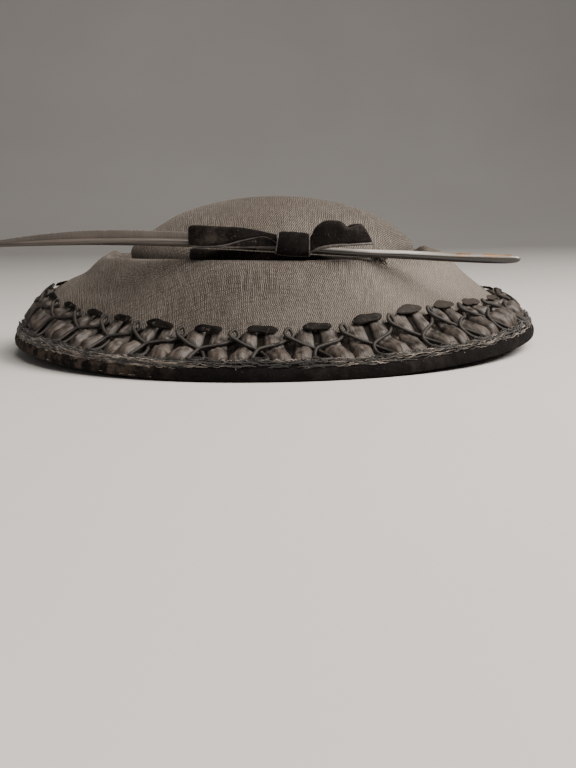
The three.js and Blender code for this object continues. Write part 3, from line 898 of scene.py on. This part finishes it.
def feather_vane():
    """Close taupe barbs, slanting out from the shaft."""
    look = Look("feather_vane", Sheen_Weight=0.3, Roughness=0.6)
    place = look.place()
    barbs = look.streaks(place, (1500, 1, 60), 2)
    bands = look.streaks(place, (70, 1, 70), 3, 0.6)
    shade = look.ramp(
        look.blend(0.5, barbs, bands),
        (0.3, (0.035, 0.028, 0.023)), (0.7, (0.12, 0.1, 0.085)),
    )
    return look.paint(Base_Color=shade, Normal=look.bump(barbs, 0.2, 0.7))


def thread(name, dark, light):
    """Loose fibres of uneven colour."""
    look = Look(name, Roughness=0.8, Sheen_Weight=0.2)
    shade = look.ramp(look.noise(look.place(), 150, 3, 0.7), (0.35, dark), (0.65, light))
    return look.paint(Base_Color=shade)


# The crown, the brim and the rim

def make_crown(finish):
    """The dome: a cloth shell over a stiff form, open below."""
    top_gap = 0.15
    last_step = CROWN_STEPS["step"][-1] - top_gap
    step = np.linspace(0, last_step, CROWN_RINGS_PER_STEP * len(CROWN_STEPS["step"]))
    level = read(CROWN_STEPS, "step", "up", step)[:, None]
    bearing = even_turns(CROWN_COLUMNS, 360)[None, :]
    foot = GROOVE_HEIGHT + SEAT_GAP
    push = 0
    for at, turn, middle, reach, out in zip(*CROWN_DENTS.values()):
        push = push + out * hill(turn_between(bearing, at) / turn) * hill((level - middle) / reach)
    push = push * CROWN_RADIUS * np.minimum(level / CROWN_SECTIONS["up"][1], 1)
    radius = read(CROWN_STEPS, "step", "out", step)[:, None] * CROWN_RADIUS
    radius = radius + push * ease(radius, 0, CROWN_RADIUS / 3)
    height = foot + level * (CROWN_TOP - foot)
    slope_out, slope_up, course = section_course(radius, height)
    outer = around(bearing, radius, height)
    inner = around(bearing, radius - CLOTH_WALL * slope_up, height + CLOTH_WALL * slope_out)
    inner[0, :, 2] = outer[0, :, 2]
    cloth = around(bearing, course[-1:] - course, 0)[..., :2]
    middles = np.array([[0, 0, CROWN_TOP], [0, 0, CROWN_TOP - CLOTH_WALL]])
    points = np.concatenate([*outer[::-1], *inner, middles])
    cloth_map = np.concatenate([*cloth[::-1], *cloth, np.zeros((2, 2))])
    rings = 2 * len(step)
    faces = lattice(rings, CROWN_COLUMNS, columns_join=True).tolist()
    count = rings * CROWN_COLUMNS
    last_ring = count - CROWN_COLUMNS
    for column in range(CROWN_COLUMNS):
        after = (column + 1) % CROWN_COLUMNS
        faces.append([after, column, count])
        faces.append([last_ring + column, last_ring + after, count + 1])
    made = piece("crown_cloth", points, faces, finish, cloth_map)
    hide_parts("crown")


def crease(bearing, radius):
    """Soft creases of the brim cloth, as a height to take away."""
    right_light_share = 0.85
    depth = 0
    for line, width, deep in BRIM_CREASES:
        bearings, radii = np.array(line, float).T
        place = np.clip(bearing, bearings.min(), bearings.max())
        middle = np.interp(place, bearings, radii)
        ends = hill(turn_between(bearing, bearings.mean()) / (np.ptp(bearings) * right_light_share))
        depth = depth + deep * np.exp(-(((radius - middle) / width) ** 2)) * ends
    return depth


def make_brim(finish):
    """The brim: one cloth-covered shell from its ledge under the crown to its edge."""
    inside = np.linspace(GROOVE_RADIUS, RIDGE_RADIUS, BRIM_ROLL_RINGS)[:-1]
    outside = np.linspace(RIDGE_RADIUS, BRIM_EDGE_RADIUS, BRIM_SLOPE_RINGS)
    radius = np.concatenate([[CROWN_RADIUS - LEDGE_WIDTH], inside, outside])[:, None]
    bearing = even_turns(BRIM_COLUMNS, 360)[None, :]
    height = brim_top(bearing, radius)
    slope_out, slope_up, course = section_course(radius, height)
    under = around(bearing, radius + CLOTH_WALL * slope_up, height - CLOTH_WALL * slope_out)
    upper = around(bearing, radius, height - crease(turn_between(bearing, 0), radius))
    cloth = around(bearing, CROWN_RADIUS + course, 0)[..., :2]
    points = np.concatenate([upper, under[::-1]])
    cloth_map = np.concatenate([cloth, cloth[::-1]]).reshape(-1, 2)
    faces = lattice(2 * len(radius), BRIM_COLUMNS, rows_join=True, columns_join=True)
    made = piece("brim_cloth", points, faces, finish, cloth_map)
    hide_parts("brim")


def make_rim(finish, rng):
    """The velvet binding folded round the brim's edge, a little lumpy and rubbed."""
    side_bulge = 0.1
    lip_slant = 0.2
    bearing = even_turns(RIM_COLUMNS, 360)
    floor = rim_lift(bearing)
    top = floor + BINDING_HEIGHT
    lip = slope_top(bearing, LIP_RADIUS + 0 * bearing) + SEAT_GAP
    ragged = sum(reach * wander(rng, RIM_COLUMNS, waves) for reach, waves in BINDING_RAGS)
    corner = BINDING_WALL / 2
    rounder = BINDING_WALL * 0.9
    outline = [
        (RIM_RADIUS - BINDING_FOOT, floor),
        (RIM_RADIUS - corner, floor),
        (RIM_RADIUS + side_bulge, floor + corner),
        (RIM_RADIUS, floor + BINDING_HEIGHT / 2),
        (RIM_TOP_RADIUS + BINDING_BULGE, top - rounder),
        (RIM_TOP_RADIUS - rounder, top + BINDING_BULGE),
        (LIP_RADIUS + ragged, lip + BINDING_WALL),
        (LIP_RADIUS + ragged - lip_slant, lip),
        (RIM_TOP_RADIUS - corner, top - BINDING_WALL),
        (RIM_RADIUS - BINDING_WALL, floor + BINDING_WALL),
        (RIM_RADIUS - BINDING_FOOT, floor + BINDING_WALL),
    ]
    section = round_corners(np.stack([together(*place) for place in outline]), 2)
    lumps = [wander(rng, RIM_COLUMNS, BINDING_LUMP_WAVES) for side in section]
    lumps = BINDING_LUMPS * np.stack(lumps)
    height = np.maximum(section[..., 1] + 0.1 * lumps, floor)
    points = around(bearing[None, :], section[..., 0] + lumps, height)
    faces = lattice(len(section), RIM_COLUMNS, rows_join=True, columns_join=True)
    made = piece("rim_velvet", points, faces, finish)
    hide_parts("brim_binding")


# The braid

def drift(bearing, column):
    """One column of the braid's wandering, at a bearing."""
    total = 0
    for at, turn, amount in zip(BRAID_DRIFT["at"], BRAID_DRIFT["turn"], BRAID_DRIFT[column]):
        total = total + amount * hill(turn_between(bearing, at) / turn)
    return total


def braid_bearing(place):
    """The bearing of a place along the braid, counted in repeats."""
    even = BRAID_START + place * 360 / BRAID_REPEATS
    return even + drift(even, "swing")


def braid_edges(bearing, phase):
    """The lower and upper edges of the braid, and the upper edge without its scallops, as radii."""
    side = sideways(bearing) ** 2
    archway = hill((phase - BRAID_MEETING) / BRAID_MEETING)
    lower = BRAID_FOOT_RADIUS + BRAID_FOOT_SPREAD * side
    plain = BRAID_HEAD_RADIUS + BRAID_SPREAD * side + drift(bearing, "shift")
    return lower, plain + BRAID_SCALLOP * (1 - archway), plain


def on_braid(repeat, phase, across, height):
    """Points by repeat, phase, share across the plain braid and height over the brim."""
    bearing = braid_bearing(repeat + phase)
    lower, upper, plain = braid_edges(bearing, phase % 1)
    return over_brim(bearing, lower - across * (lower - plain), height)


def cord_pinch(phase, across):
    """1 under the cord's long runs, falling to nothing beside them."""
    pinch = 0
    for ends in CORD_RUNS:
        a, b = np.array(ends) * (BRAID_REPEAT_LENGTH, BRAID_WIDTH)
        x = phase * BRAID_REPEAT_LENGTH - a[0]
        y = across * BRAID_WIDTH - a[1]
        line = b - a
        along = np.clip((x * line[0] + y * line[1]) / (line @ line), 0, 1)
        away = np.hypot(x - along * line[0], y - along * line[1])
        pinch = np.maximum(pinch, np.exp(-((away / CORD_PINCH_REACH) ** 2)))
    return pinch


def make_ground(finish):
    """The flat ribbon under the petals; its near-black colour is painted shade where it shows between them.
    """
    ripples_per_repeat = 3
    ripple_slant = 5
    columns = GROUND_COLUMNS_PER_REPEAT * BRAID_REPEATS
    place = np.arange(columns) / GROUND_COLUMNS_PER_REPEAT
    bearing = braid_bearing(place)[None, :]
    lower, upper, plain = braid_edges(bearing, (place % 1)[None, :])
    share = GROUND_SECTION["across"][:, None]
    rise = GROUND_SECTION["rise"][:, None]
    ripple = np.sin(place * FULL_TURN * ripples_per_repeat + ripple_slant * share) * (rise == 1)
    height = BRAID_SEAT + rise * (BRAID_GROUND - BRAID_SEAT) + BRAID_RIPPLE * ripple
    points = over_brim(bearing, lower - share * (lower - upper), height)[0]
    faces = lattice(len(share), columns, rows_join=True, columns_join=True)
    cloth_map = flat_map((place * BRAID_REPEAT_LENGTH)[None, :], share * BRAID_WIDTH)
    piece("braid_ground", points, faces, finish, cloth_map)


def make_petals(finish, rng):
    """Gathered satin: two puffed petals to a repeat, pinched by the cord, with the near-black ribbon between
    them as painted shade.
    """
    head_fall = 0.55
    foot_width = 0.55
    fullness = 2.3
    edge_roundness = 0.55
    joined = Joined()
    across = np.concatenate([[0.0], np.linspace(0.012, 0.985, 34), [1.0]])[:, None]
    u = -np.cos(np.linspace(0, math.pi, 21)[None, :])
    below = np.linspace(1, -1, 7)[None, 1:-1]
    floor = BRAID_GROUND - PETAL_SINK
    columns = u.size + below.size
    ends = np.sqrt(ease(across, -0.002, 0.24)) * (1 - head_fall * ease(across, 0.72, 0.95))
    narrow = foot_width + (1 - foot_width) * np.sqrt(ease(across, -0.01, 0.1))
    puff = cushion(u, fullness, edge_roundness)
    first_left = read(PETAL_SIDES, "across", "left", across)
    first_right = read(PETAL_SIDES, "across", "right", across)
    for number in range(2 * BRAID_REPEATS):
        repeat = number // 2
        size = rng.uniform(*PETAL_SIZES)
        widen = rng.uniform(*PETAL_WIDTHS)
        lean = rng.uniform(-PETAL_LEAN, PETAL_LEAN)
        starts = rng.uniform(0, FULL_TURN, len(PETAL_CREASES["height"]))
        left, right = first_left, first_right
        if number % 2:
            left, right = PETAL_MIRROR - first_right, PETAL_MIRROR - first_left
        middle = (left + right) / 2 + lean * (across - 0.5)
        half = (right - left) / 2 * widen * narrow
        phase = middle + u * half
        height = PUFF_HEIGHT * size * (1 - PETAL_PINCH * cord_pinch(phase, across))
        for start, deep, over, along in zip(starts, *PETAL_CREASES.values()):
            height = height + deep * np.sin(over * u + along * across + start)
        height = floor + PUFF_LEAST + height * puff * ends
        lower_phase = middle + below * half
        phases = np.concatenate([phase, lower_phase], axis=1)
        heights = np.concatenate([height, floor + 0 * lower_phase], axis=1)
        bearing = braid_bearing(repeat + phases)
        lower, upper, plain = braid_edges(bearing, phases)
        points = over_brim(bearing, lower - across * (lower - upper), heights)[0]
        cloth_map = flat_map((repeat + phases) * BRAID_REPEAT_LENGTH, across * BRAID_WIDTH)
        joined.add(points, capped(len(across), columns), cloth_map)
    made = joined.piece("braid_petals", finish, "satin")
    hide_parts("brim_braid")


def make_arches(finish, rng):
    """The gathered ribbon's upper edge, rolled over between each two rings of the cord."""
    joined = Joined()
    steps = 26
    sides = 16
    fullness = 3.4
    end_roundness = 0.6
    scallop_share = 0.2
    share = np.linspace(0, 1, steps)[:, None]
    u = 2 * share - 1
    angle = even_turns(sides, FULL_TURN)[None, :]
    taper = cushion(u, fullness, end_roundness, least=0.006)
    cloth_map = flat_map(angle * 2, share * 16)
    for repeat in range(BRAID_REPEATS):
        size = rng.uniform(*ARCH_SIZES)
        middle = BRAID_MEETING + ARCH_TURN + rng.uniform(-ARCH_STRAY, ARCH_STRAY)
        lean = rng.uniform(-ARCH_LEAN, ARCH_LEAN) * u
        phase = middle + u * ARCH_HALF_TURN * size
        bearing = braid_bearing(repeat + phase)
        lower, upper, plain = braid_edges(bearing, phase)
        fold = 1 + 0.1 * np.sin(3 * angle + 2 * share) + 0.13 * np.sin(9 * share + size * 40)
        full = size * taper * fold
        thick = ARCH_HALF_HEIGHT * full * (1 - ARCH_SIDE_THIN * ease(bearing, 15, 45))
        middle_radius = plain + scallop_share * (upper - plain) + ARCH_SETBACK
        radius = middle_radius + ARCH_HALF_WIDTH * full * np.cos(angle)
        height = ARCH_LIFT + ARCH_END_RISE * u ** 2 + lean + thick * np.sin(angle)
        points = over_brim(bearing, radius, height)[0]
        joined.add(points, capped(steps, sides), cloth_map)
    joined.piece("braid_arches", finish, "satin")


def make_cord(finish, rng):
    """One cord all round: a ring at the upper edge, a run down, a loop at the lower edge, a run up."""
    least_growth = 0.4
    route = []
    for repeat in range(BRAID_REPEATS):
        shift = rng.uniform(-CORD_STRAY, CORD_STRAY)
        grow = rng.uniform(-CORD_STRAY, CORD_STRAY)
        for phase, across, height in zip(*CORD_ROUTE.values()):
            middle = 1 - abs(2 * across - 1)
            route.append((repeat + phase + shift, across + grow * (least_growth + middle), height))
    steps = CORD_STEPS_PER_REPEAT // len(CORD_ROUTE["phase"])
    route = np.array(route)
    round_once = (BRAID_REPEATS, 0, 0)
    wrapped = np.concatenate([route[-2:] - round_once, route, route[:3] + round_once])
    line = smooth_path(wrapped, steps)[2 * steps:-3 * steps]
    repeat = np.floor(line[:, 0])
    path, up = on_braid(repeat, line[:, 0] - repeat, line[:, 1], line[:, 2])
    points, faces, cloth_map = tube(path, up, CORD_RADIUS, CORD_SIDES, joined=True)
    piece("braid_cord", points, faces, finish, cloth_map)


# The loose threads

def strand(rng, start_bearing, radius, length, lift, thickness):
    """A loose thread that lies along the rim, wavering, with its ends free."""
    waver_step = 0.24
    thinnest = 0.35
    end_share = 0.06
    share = np.linspace(0, 1, THREAD_STEPS)
    waver = np.cumsum(rng.normal(0, waver_step, THREAD_STEPS))
    out = radius + waver - waver.mean()
    fall = np.clip(out - RIM_TOP_RADIUS, 0, BINDING_HEIGHT - 1)
    out = np.minimum(out, RIM_TOP_RADIUS)
    on_lip = (BINDING_WALL + SEAT_GAP) * ease(out, LIP_RADIUS - 1.2, LIP_RADIUS + 0.2)
    bearing = start_bearing + np.degrees(length / radius) * share
    wave = np.abs(np.sin(share * math.pi * rng.uniform(1, 3) + rng.random() * 3))
    path, up = over_brim(bearing, out, on_lip + thickness + lift * wave * (fall == 0))
    outward = around(bearing, 1.0, 0)
    path = path - (0, 0, 1) * fall[:, None]
    path = path + outward * (fall * BINDING_LEAN / BINDING_HEIGHT + (fall > 0) * thickness)[:, None]
    full = np.sin(math.pi * np.clip(share, end_share, 1 - end_share))
    return tube(path, up, thickness * (thinnest + (1 - thinnest) * full), THREAD_SIDES)


def make_fray(pale, dark, rng):
    """The worn seam between braid and rim: pale stitches, and dark threads pulled loose."""
    for name, table, finish in (("seam_stitches", PALE_STITCHES, pale), ("seam_threads", DARK_THREADS, dark)):
        joined = Joined()
        for count, first, last, inner, outer, short, long, lift, thin, thick in zip(*table.values()):
            for index in range(int(count)):
                bearing = rng.uniform(first, last)
                radius = LIP_RADIUS + rng.uniform(inner, outer)
                length = rng.uniform(short, long)
                thickness = rng.uniform(thin, thick)
                joined.add(*strand(rng, bearing, radius, length, lift, thickness))
        joined.piece(name, finish, "velvet")


# The quill

def quill_at(x):
    """The height of the quill's middle line, its radius, and how tall its vane stands."""
    share = (x + QUILL_LEFT_REACH) / (QUILL_LEFT_REACH + QUILL_RIGHT_REACH)
    rise = QUILL_HEIGHT + read(QUILL_SECTIONS, "along", "rise", share) * QUILL_DIAMETER
    radius = read(QUILL_SECTIONS, "along", "thick", share) * QUILL_DIAMETER / 2
    vane = read(QUILL_SECTIONS, "along", "vane", share) * VANE_HEIGHT
    return rise, radius, vane


def make_shaft(finish):
    """The shaft, round at its right tip and fine at its left."""
    stem_steps = 220
    sides = 20
    stem = np.linspace(-QUILL_LEFT_REACH, QUILL_RIGHT_REACH - 3, stem_steps)
    tip = QUILL_RIGHT_REACH - np.array([2.2, 1.5, 0.9, 0.4, 0.1])
    x = np.concatenate([stem, tip])
    rise, radius, vane = quill_at(x)
    into_tip = ((x - (QUILL_RIGHT_REACH - QUILL_TIP)) / QUILL_TIP).clip(0, 1)
    rounding = np.sqrt(np.clip(1 - into_tip ** 2, 0.01, 1))
    path = together(x, -QUILL_FORWARD, rise)
    points, faces, cloth_map = tube(path, np.array([0, 0, 1.0]), radius * rounding, sides)
    made = piece("quill_horn", points, faces, finish, cloth_map)
    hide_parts("quill_shaft")


def make_vane(finish, rng):
    """The vane: a thin blade over the shaft, with its barbs lying side by side on it."""
    steps = 160
    foot_share = 0.7
    over_height = 1.05
    raggedness = 0.06
    barb_foot_share = 0.6
    barb_radius = 0.2
    joined = Joined()
    x = np.linspace(-QUILL_LEFT_REACH + 0.5, -VANE_END, steps)
    rise, radius, vane = quill_at(x)
    ragged = over_height * (1 - raggedness * rng.random(steps))
    height = rise + radius * foot_share + VANE_SECTION["up"][:, None] * vane * ragged
    half = VANE_SECTION["half"][:, None]
    front = together(x, -QUILL_FORWARD - half, height)
    back = together(x, -QUILL_FORWARD + half, height)
    points = np.concatenate([front, back[::-1]]).transpose(1, 0, 2)
    joined.add(points, capped(len(x), points.shape[1]))
    part = np.linspace(0, 1, 5)
    for foot in np.arange(-QUILL_LEFT_REACH + 4, -VANE_END, BARB_SPACING):
        rise, radius, vane = quill_at(np.array(foot))
        reach = part * vane * rng.uniform(0.92, 1.07)
        forward = QUILL_FORWARD + 0.5 - 0.3 * part
        height = rise + radius * barb_foot_share + reach
        path = together(foot - reach * BARB_LEAN, -forward, height)
        taper = barb_radius * (1 - part / 2)
        joined.add(*tube(path, np.array([0, -1.0, 0]), taper, THREAD_SIDES))
    made = joined.piece("quill_barbs", finish, "vane")
    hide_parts("quill_vane")


# The bow

def ribbon_face(table, length, side, widths):
    """Points of a loop's ribbon, rows from end to end and columns over its width, and its outward way."""
    step = np.linspace(0, table["step"][-1], RIBBON_STEPS)
    along, depth, low, high, slant = (
        read(table, "step", name, step) for name in ("along", "depth", "low", "high", "slant")
    )
    start = BOW_CENTRE + side * (KNOT_WIDTH / 2 + SEAT_GAP)
    line = together(start + side * along * length, -BOW_BACK - RIBBON_THICKNESS - depth * LOOP_DEPTH)
    run = unit(np.gradient(line, axis=0))
    outward = together(run[:, 1], -run[:, 0]) * side
    low, high = (QUILL_HEIGHT + edge[:, None] * RIBBON_WIDTH for edge in (low, high))
    height = low + widths[None, :] * (high - low)
    places = np.repeat(line[:, None], len(widths), axis=1)
    places[..., 0] -= side * slant[:, None] * widths[None, :] * RIBBON_WIDTH / 2
    return np.concatenate([places, height[..., None]], axis=-1), outward


def make_ribbon(name, table, length, side, finish, slot, inner, outer, widths):
    """A ribbon with two faces, inner and outer from its middle line, over shares of its width."""
    middle, outward = ribbon_face(table, length, side, widths)
    soft = cushion(2 * (widths - widths[0]) / np.ptp(widths) - 1, 6)
    face = middle.copy()
    face[..., :2] += outward[:, None] * outer * soft[None, :, None]
    rear = middle.copy()
    rear[..., :2] += outward[:, None] * inner
    points = np.concatenate([face, rear[:, ::-1]], axis=1)
    cloth_map = points[..., (0, 2)].reshape(-1, 2)
    faces = capped(RIBBON_STEPS, points.shape[1])
    return piece(name, points, faces, finish, cloth_map)


def make_bow(pile, knot_pile, lining, selvedge):
    """Two loops of velvet ribbon with a dark satin back and a pale lower edge, and their knot."""
    pile_widths = np.linspace(0.05, 1, 15)
    lining_widths = np.linspace(0, 0.99, 12)
    for label, table, length, side, edge_share in (
        ("left", LEFT_LOOP, LEFT_LOOP_LENGTH, -1, 0.05),
        ("right", RIGHT_LOOP, RIGHT_LOOP_LENGTH, 1, 0.09),
    ):
        edge_widths = np.linspace(-0.05, edge_share, 5)
        velvet_face, back_face, edge = (
            make_ribbon(f"bow_{label}_{part}", table, length, side, *looks)
            for part, *looks in (
                ("velvet", pile, "velvet", 0.0, 0.75, pile_widths),
                ("satin", lining, "satin", -0.4, -0.05, lining_widths),
                ("edge", selvedge, "satin", -0.45, 0.5, edge_widths),
            )
        )
        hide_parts(f"bow_{label}_loop")
    make_knot(knot_pile, selvedge)


def knot_ring(share, angle, swell=0.0):
    """Points round the knot at shares of its width."""
    end_girth = 0.88
    girth = end_girth + (1 - end_girth) * cushion(2 * share - 1, 4)
    girth = girth * (1 - 0.035 * hill((share - 0.3) / 0.1) - 0.03 * hill((share - 0.66) / 0.08))
    corners = np.abs(np.cos(angle)) ** KNOT_BOXINESS + np.abs(np.sin(angle)) ** KNOT_BOXINESS
    boxy = girth * corners ** (-1 / KNOT_BOXINESS)
    across = (share - 0.5) * KNOT_WIDTH * (1 - 0.05 * np.sin(angle))
    y = -BOW_BACK - KNOT_DEPTH / 2 + (boxy * KNOT_DEPTH / 2 + swell) * np.cos(angle)
    rise = (boxy * KNOT_HEIGHT / 2 + swell) * np.sin(angle)
    tilt = math.radians(KNOT_TILT)
    x = BOW_CENTRE + across * math.cos(tilt) - rise * math.sin(tilt)
    z = QUILL_HEIGHT + KNOT_RISE + across * math.sin(tilt) + rise * math.cos(tilt)
    return together(x, y, z)


def make_knot(pile, selvedge):
    """A short wrap of ribbon, full in the middle, with its pale edge showing at both ends."""
    rings = 30
    sides = 48
    edge_radius = 0.42
    edge_swell = 0.1
    angle = even_turns(sides, FULL_TURN)
    points = knot_ring(np.linspace(0, 1, rings)[:, None], angle[None, :])
    made = piece("bow_knot_velvet", points, capped(rings, sides), pile)
    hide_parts("bow_knot")
    edges = Joined()
    for place in (0.0, 1.0):
        path = knot_ring(np.array(place), angle, edge_swell)
        edges.add(*tube(path, np.array([1.0, 0, 0]), edge_radius, 6, joined=True))
    edges.piece("bow_knot_edges", selvedge, "satin")


def make_pad(finish, rng):
    """The velvet band in the groove under the bow, and its frayed right end."""
    shoulder = 1
    turn = math.degrees((PAD_WIDTH / 2 + PAD_PILE) / QUILL_FORWARD)
    middle = math.degrees(BOW_CENTRE / 2 / QUILL_FORWARD)
    bearing = (middle + np.linspace(-turn, turn, 90))[:, None]
    rise, radius, vane = quill_at(QUILL_FORWARD * np.sin(np.radians(bearing)))
    top = rise - radius - SEAT_GAP
    low = GROOVE_HEIGHT + PAD_FOOT_SHARE * (RIDGE_HEIGHT - GROOVE_HEIGHT) + 0 * top
    inside = QUILL_FORWARD - PAD_DEPTH / 2
    outside = QUILL_FORWARD + PAD_DEPTH / 2
    foot = np.maximum(roll_top(bearing, outside + 0 * bearing) + SEAT_GAP, low)
    outline = [
        (inside, low), (QUILL_FORWARD, low), (outside, foot), (outside, top - shoulder),
        (QUILL_FORWARD, top), (inside, top - shoulder),
    ]
    section = np.stack([together(*place)[:, 0] for place in outline])
    section = round_corners(section, 2).transpose(1, 0, 2)
    points = around(bearing, section[..., 0], section[..., 1])
    faces = capped(len(bearing), section.shape[1])
    made = piece("groove_band", points, faces, finish)
    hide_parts("bow_pad")
    make_tuft(finish, rng)


def make_tuft(finish, rng):
    """The band's frayed end, that lies over the ridge at the right of the bow."""
    fibres = 90
    sides = 5
    arching = 0.5
    joined = Joined()
    share = np.linspace(0, 1, 6)
    for index in range(fibres):
        start = rng.normal(0, 1, 2) * TUFT_SPREAD
        way = rng.normal(0, 1, 2) * TUFT_REACH
        sideways_shift, outward_shift = start[:, None] + way[:, None] * share
        height = rng.uniform(0.2, 1.2) + arching * np.sin(math.pi * share)
        bearing = TUFT_BEARING + np.degrees(sideways_shift / TUFT_RADIUS)
        path, up = over_brim(bearing, TUFT_RADIUS + outward_shift, height)
        joined.add(*tube(path, up, rng.uniform(0.16, 0.4), sides))
    joined.piece("band_tuft", finish, "velvet")


# The stage, the lights and the camera

def make_stage():
    """A pale floor that curves up into a backdrop."""
    half_width = 3.0
    front = -2.5
    bend_start = 1.6
    bend_radius = 1.4
    wall_top = 3.2
    bend = [
        (bend_start + bend_radius * math.sin(turn), bend_radius * (1 - math.cos(turn)))
        for turn in np.linspace(0, math.pi / 2, 24)
    ]
    profile = [(front, 0), *bend, (bend_start + bend_radius, wall_top)]
    points = [(x, y, z) for y, z in profile for x in (-half_width, half_width)]
    mesh = bpy.data.meshes.new("studio_floor")
    mesh.from_pydata(points, [], lattice(len(profile), 2).tolist())
    mesh.polygons.foreach_set("use_smooth", np.ones(len(mesh.polygons), bool))
    floor = bpy.data.objects.new("studio_floor", mesh)
    bpy.context.scene.collection.objects.link(floor)
    look = Look("studio_floor", Roughness=0.9)
    shade = look.ramp(look.noise(look.place(), 3, 2), (0.3, (0.6, 0.585, 0.565)), (0.7, (0.63, 0.615, 0.6)))
    mesh.materials.append(look.paint(Base_Color=shade))


def make_lights():
    """Three round lamps and a weak even light from all sides."""
    world = bpy.data.worlds.new("studio")
    world.use_nodes = True
    background = world.node_tree.nodes["Background"]
    background.inputs["Color"].default_value = STUDIO_COLOUR
    background.inputs["Strength"].default_value = STUDIO_STRENGTH
    bpy.context.scene.world = world
    for name, place, width, power, colour in LAMPS:
        light = bpy.data.lights.new(name, "AREA")
        light.shape = "DISK"
        light.size = width
        light.energy = power
        light.color = colour
        lamp = bpy.data.objects.new(name, light)
        lamp.location = place
        lamp.rotation_euler = (Vector(LAMP_AIM) - Vector(place)).to_track_quat("-Z", "Y").to_euler()
        bpy.context.scene.collection.objects.link(lamp)


def make_camera():
    """The photo's camera, as fitted: it looks at its aim from in front of the hat, a little rolled."""
    elevation = math.radians(CAMERA_ELEVATION)
    roll = math.radians(CAMERA_ROLL)
    place = Vector((0, -math.cos(elevation), math.sin(elevation))) * CAMERA_DISTANCE * MM
    forward = (Vector(CAMERA_AIM) * MM - place).normalized()
    level = forward.cross(Vector((0, 0, 1))).normalized()
    upward = level.cross(forward)
    right = level * math.cos(roll) + upward * math.sin(roll)
    top = upward * math.cos(roll) - level * math.sin(roll)
    lens = bpy.data.cameras.new("camera")
    lens.sensor_width = SENSOR_WIDTH
    lens.lens = FOCAL_PIXELS / PHOTO_LONG_SIDE * SENSOR_WIDTH
    lens.clip_start = 0.01
    camera = bpy.data.objects.new("camera", lens)
    matrix = Matrix((right, top, -forward)).transposed().to_4x4()
    matrix.translation = place
    camera.matrix_world = matrix
    bpy.context.scene.collection.objects.link(camera)
    bpy.context.scene.camera = camera


def main():
    """The camera, the finishes, the pieces in the order of their random draws, and the studio."""
    rng = np.random.default_rng(SEED)
    make_camera()
    finishes = {}
    for make_finish, table in ((velvet, VELVETS), (satin, SATINS), (thread, THREADS)):
        for name, *values in table:
            finishes[name] = make_finish(name, *values)
    cloth = ribbed_cloth()
    make_crown(cloth)
    make_brim(cloth)
    make_rim(finishes["rim_pile"], rng)
    make_ground(finishes["dark_ribbon"])
    make_petals(finishes["gathered_satin"], rng)
    make_arches(finishes["rolled_edge"], rng)
    make_cord(twisted_cord(), rng)
    make_fray(finishes["pale_thread"], finishes["dark_thread"], rng)
    make_shaft(quill_horn())
    make_vane(feather_vane(), rng)
    make_bow(finishes["velvet"], finishes["knot_pile"], finishes["dark_satin"], finishes["grey_satin"])
    make_pad(finishes["velvet"], rng)
    make_stage()
    make_lights()


main()
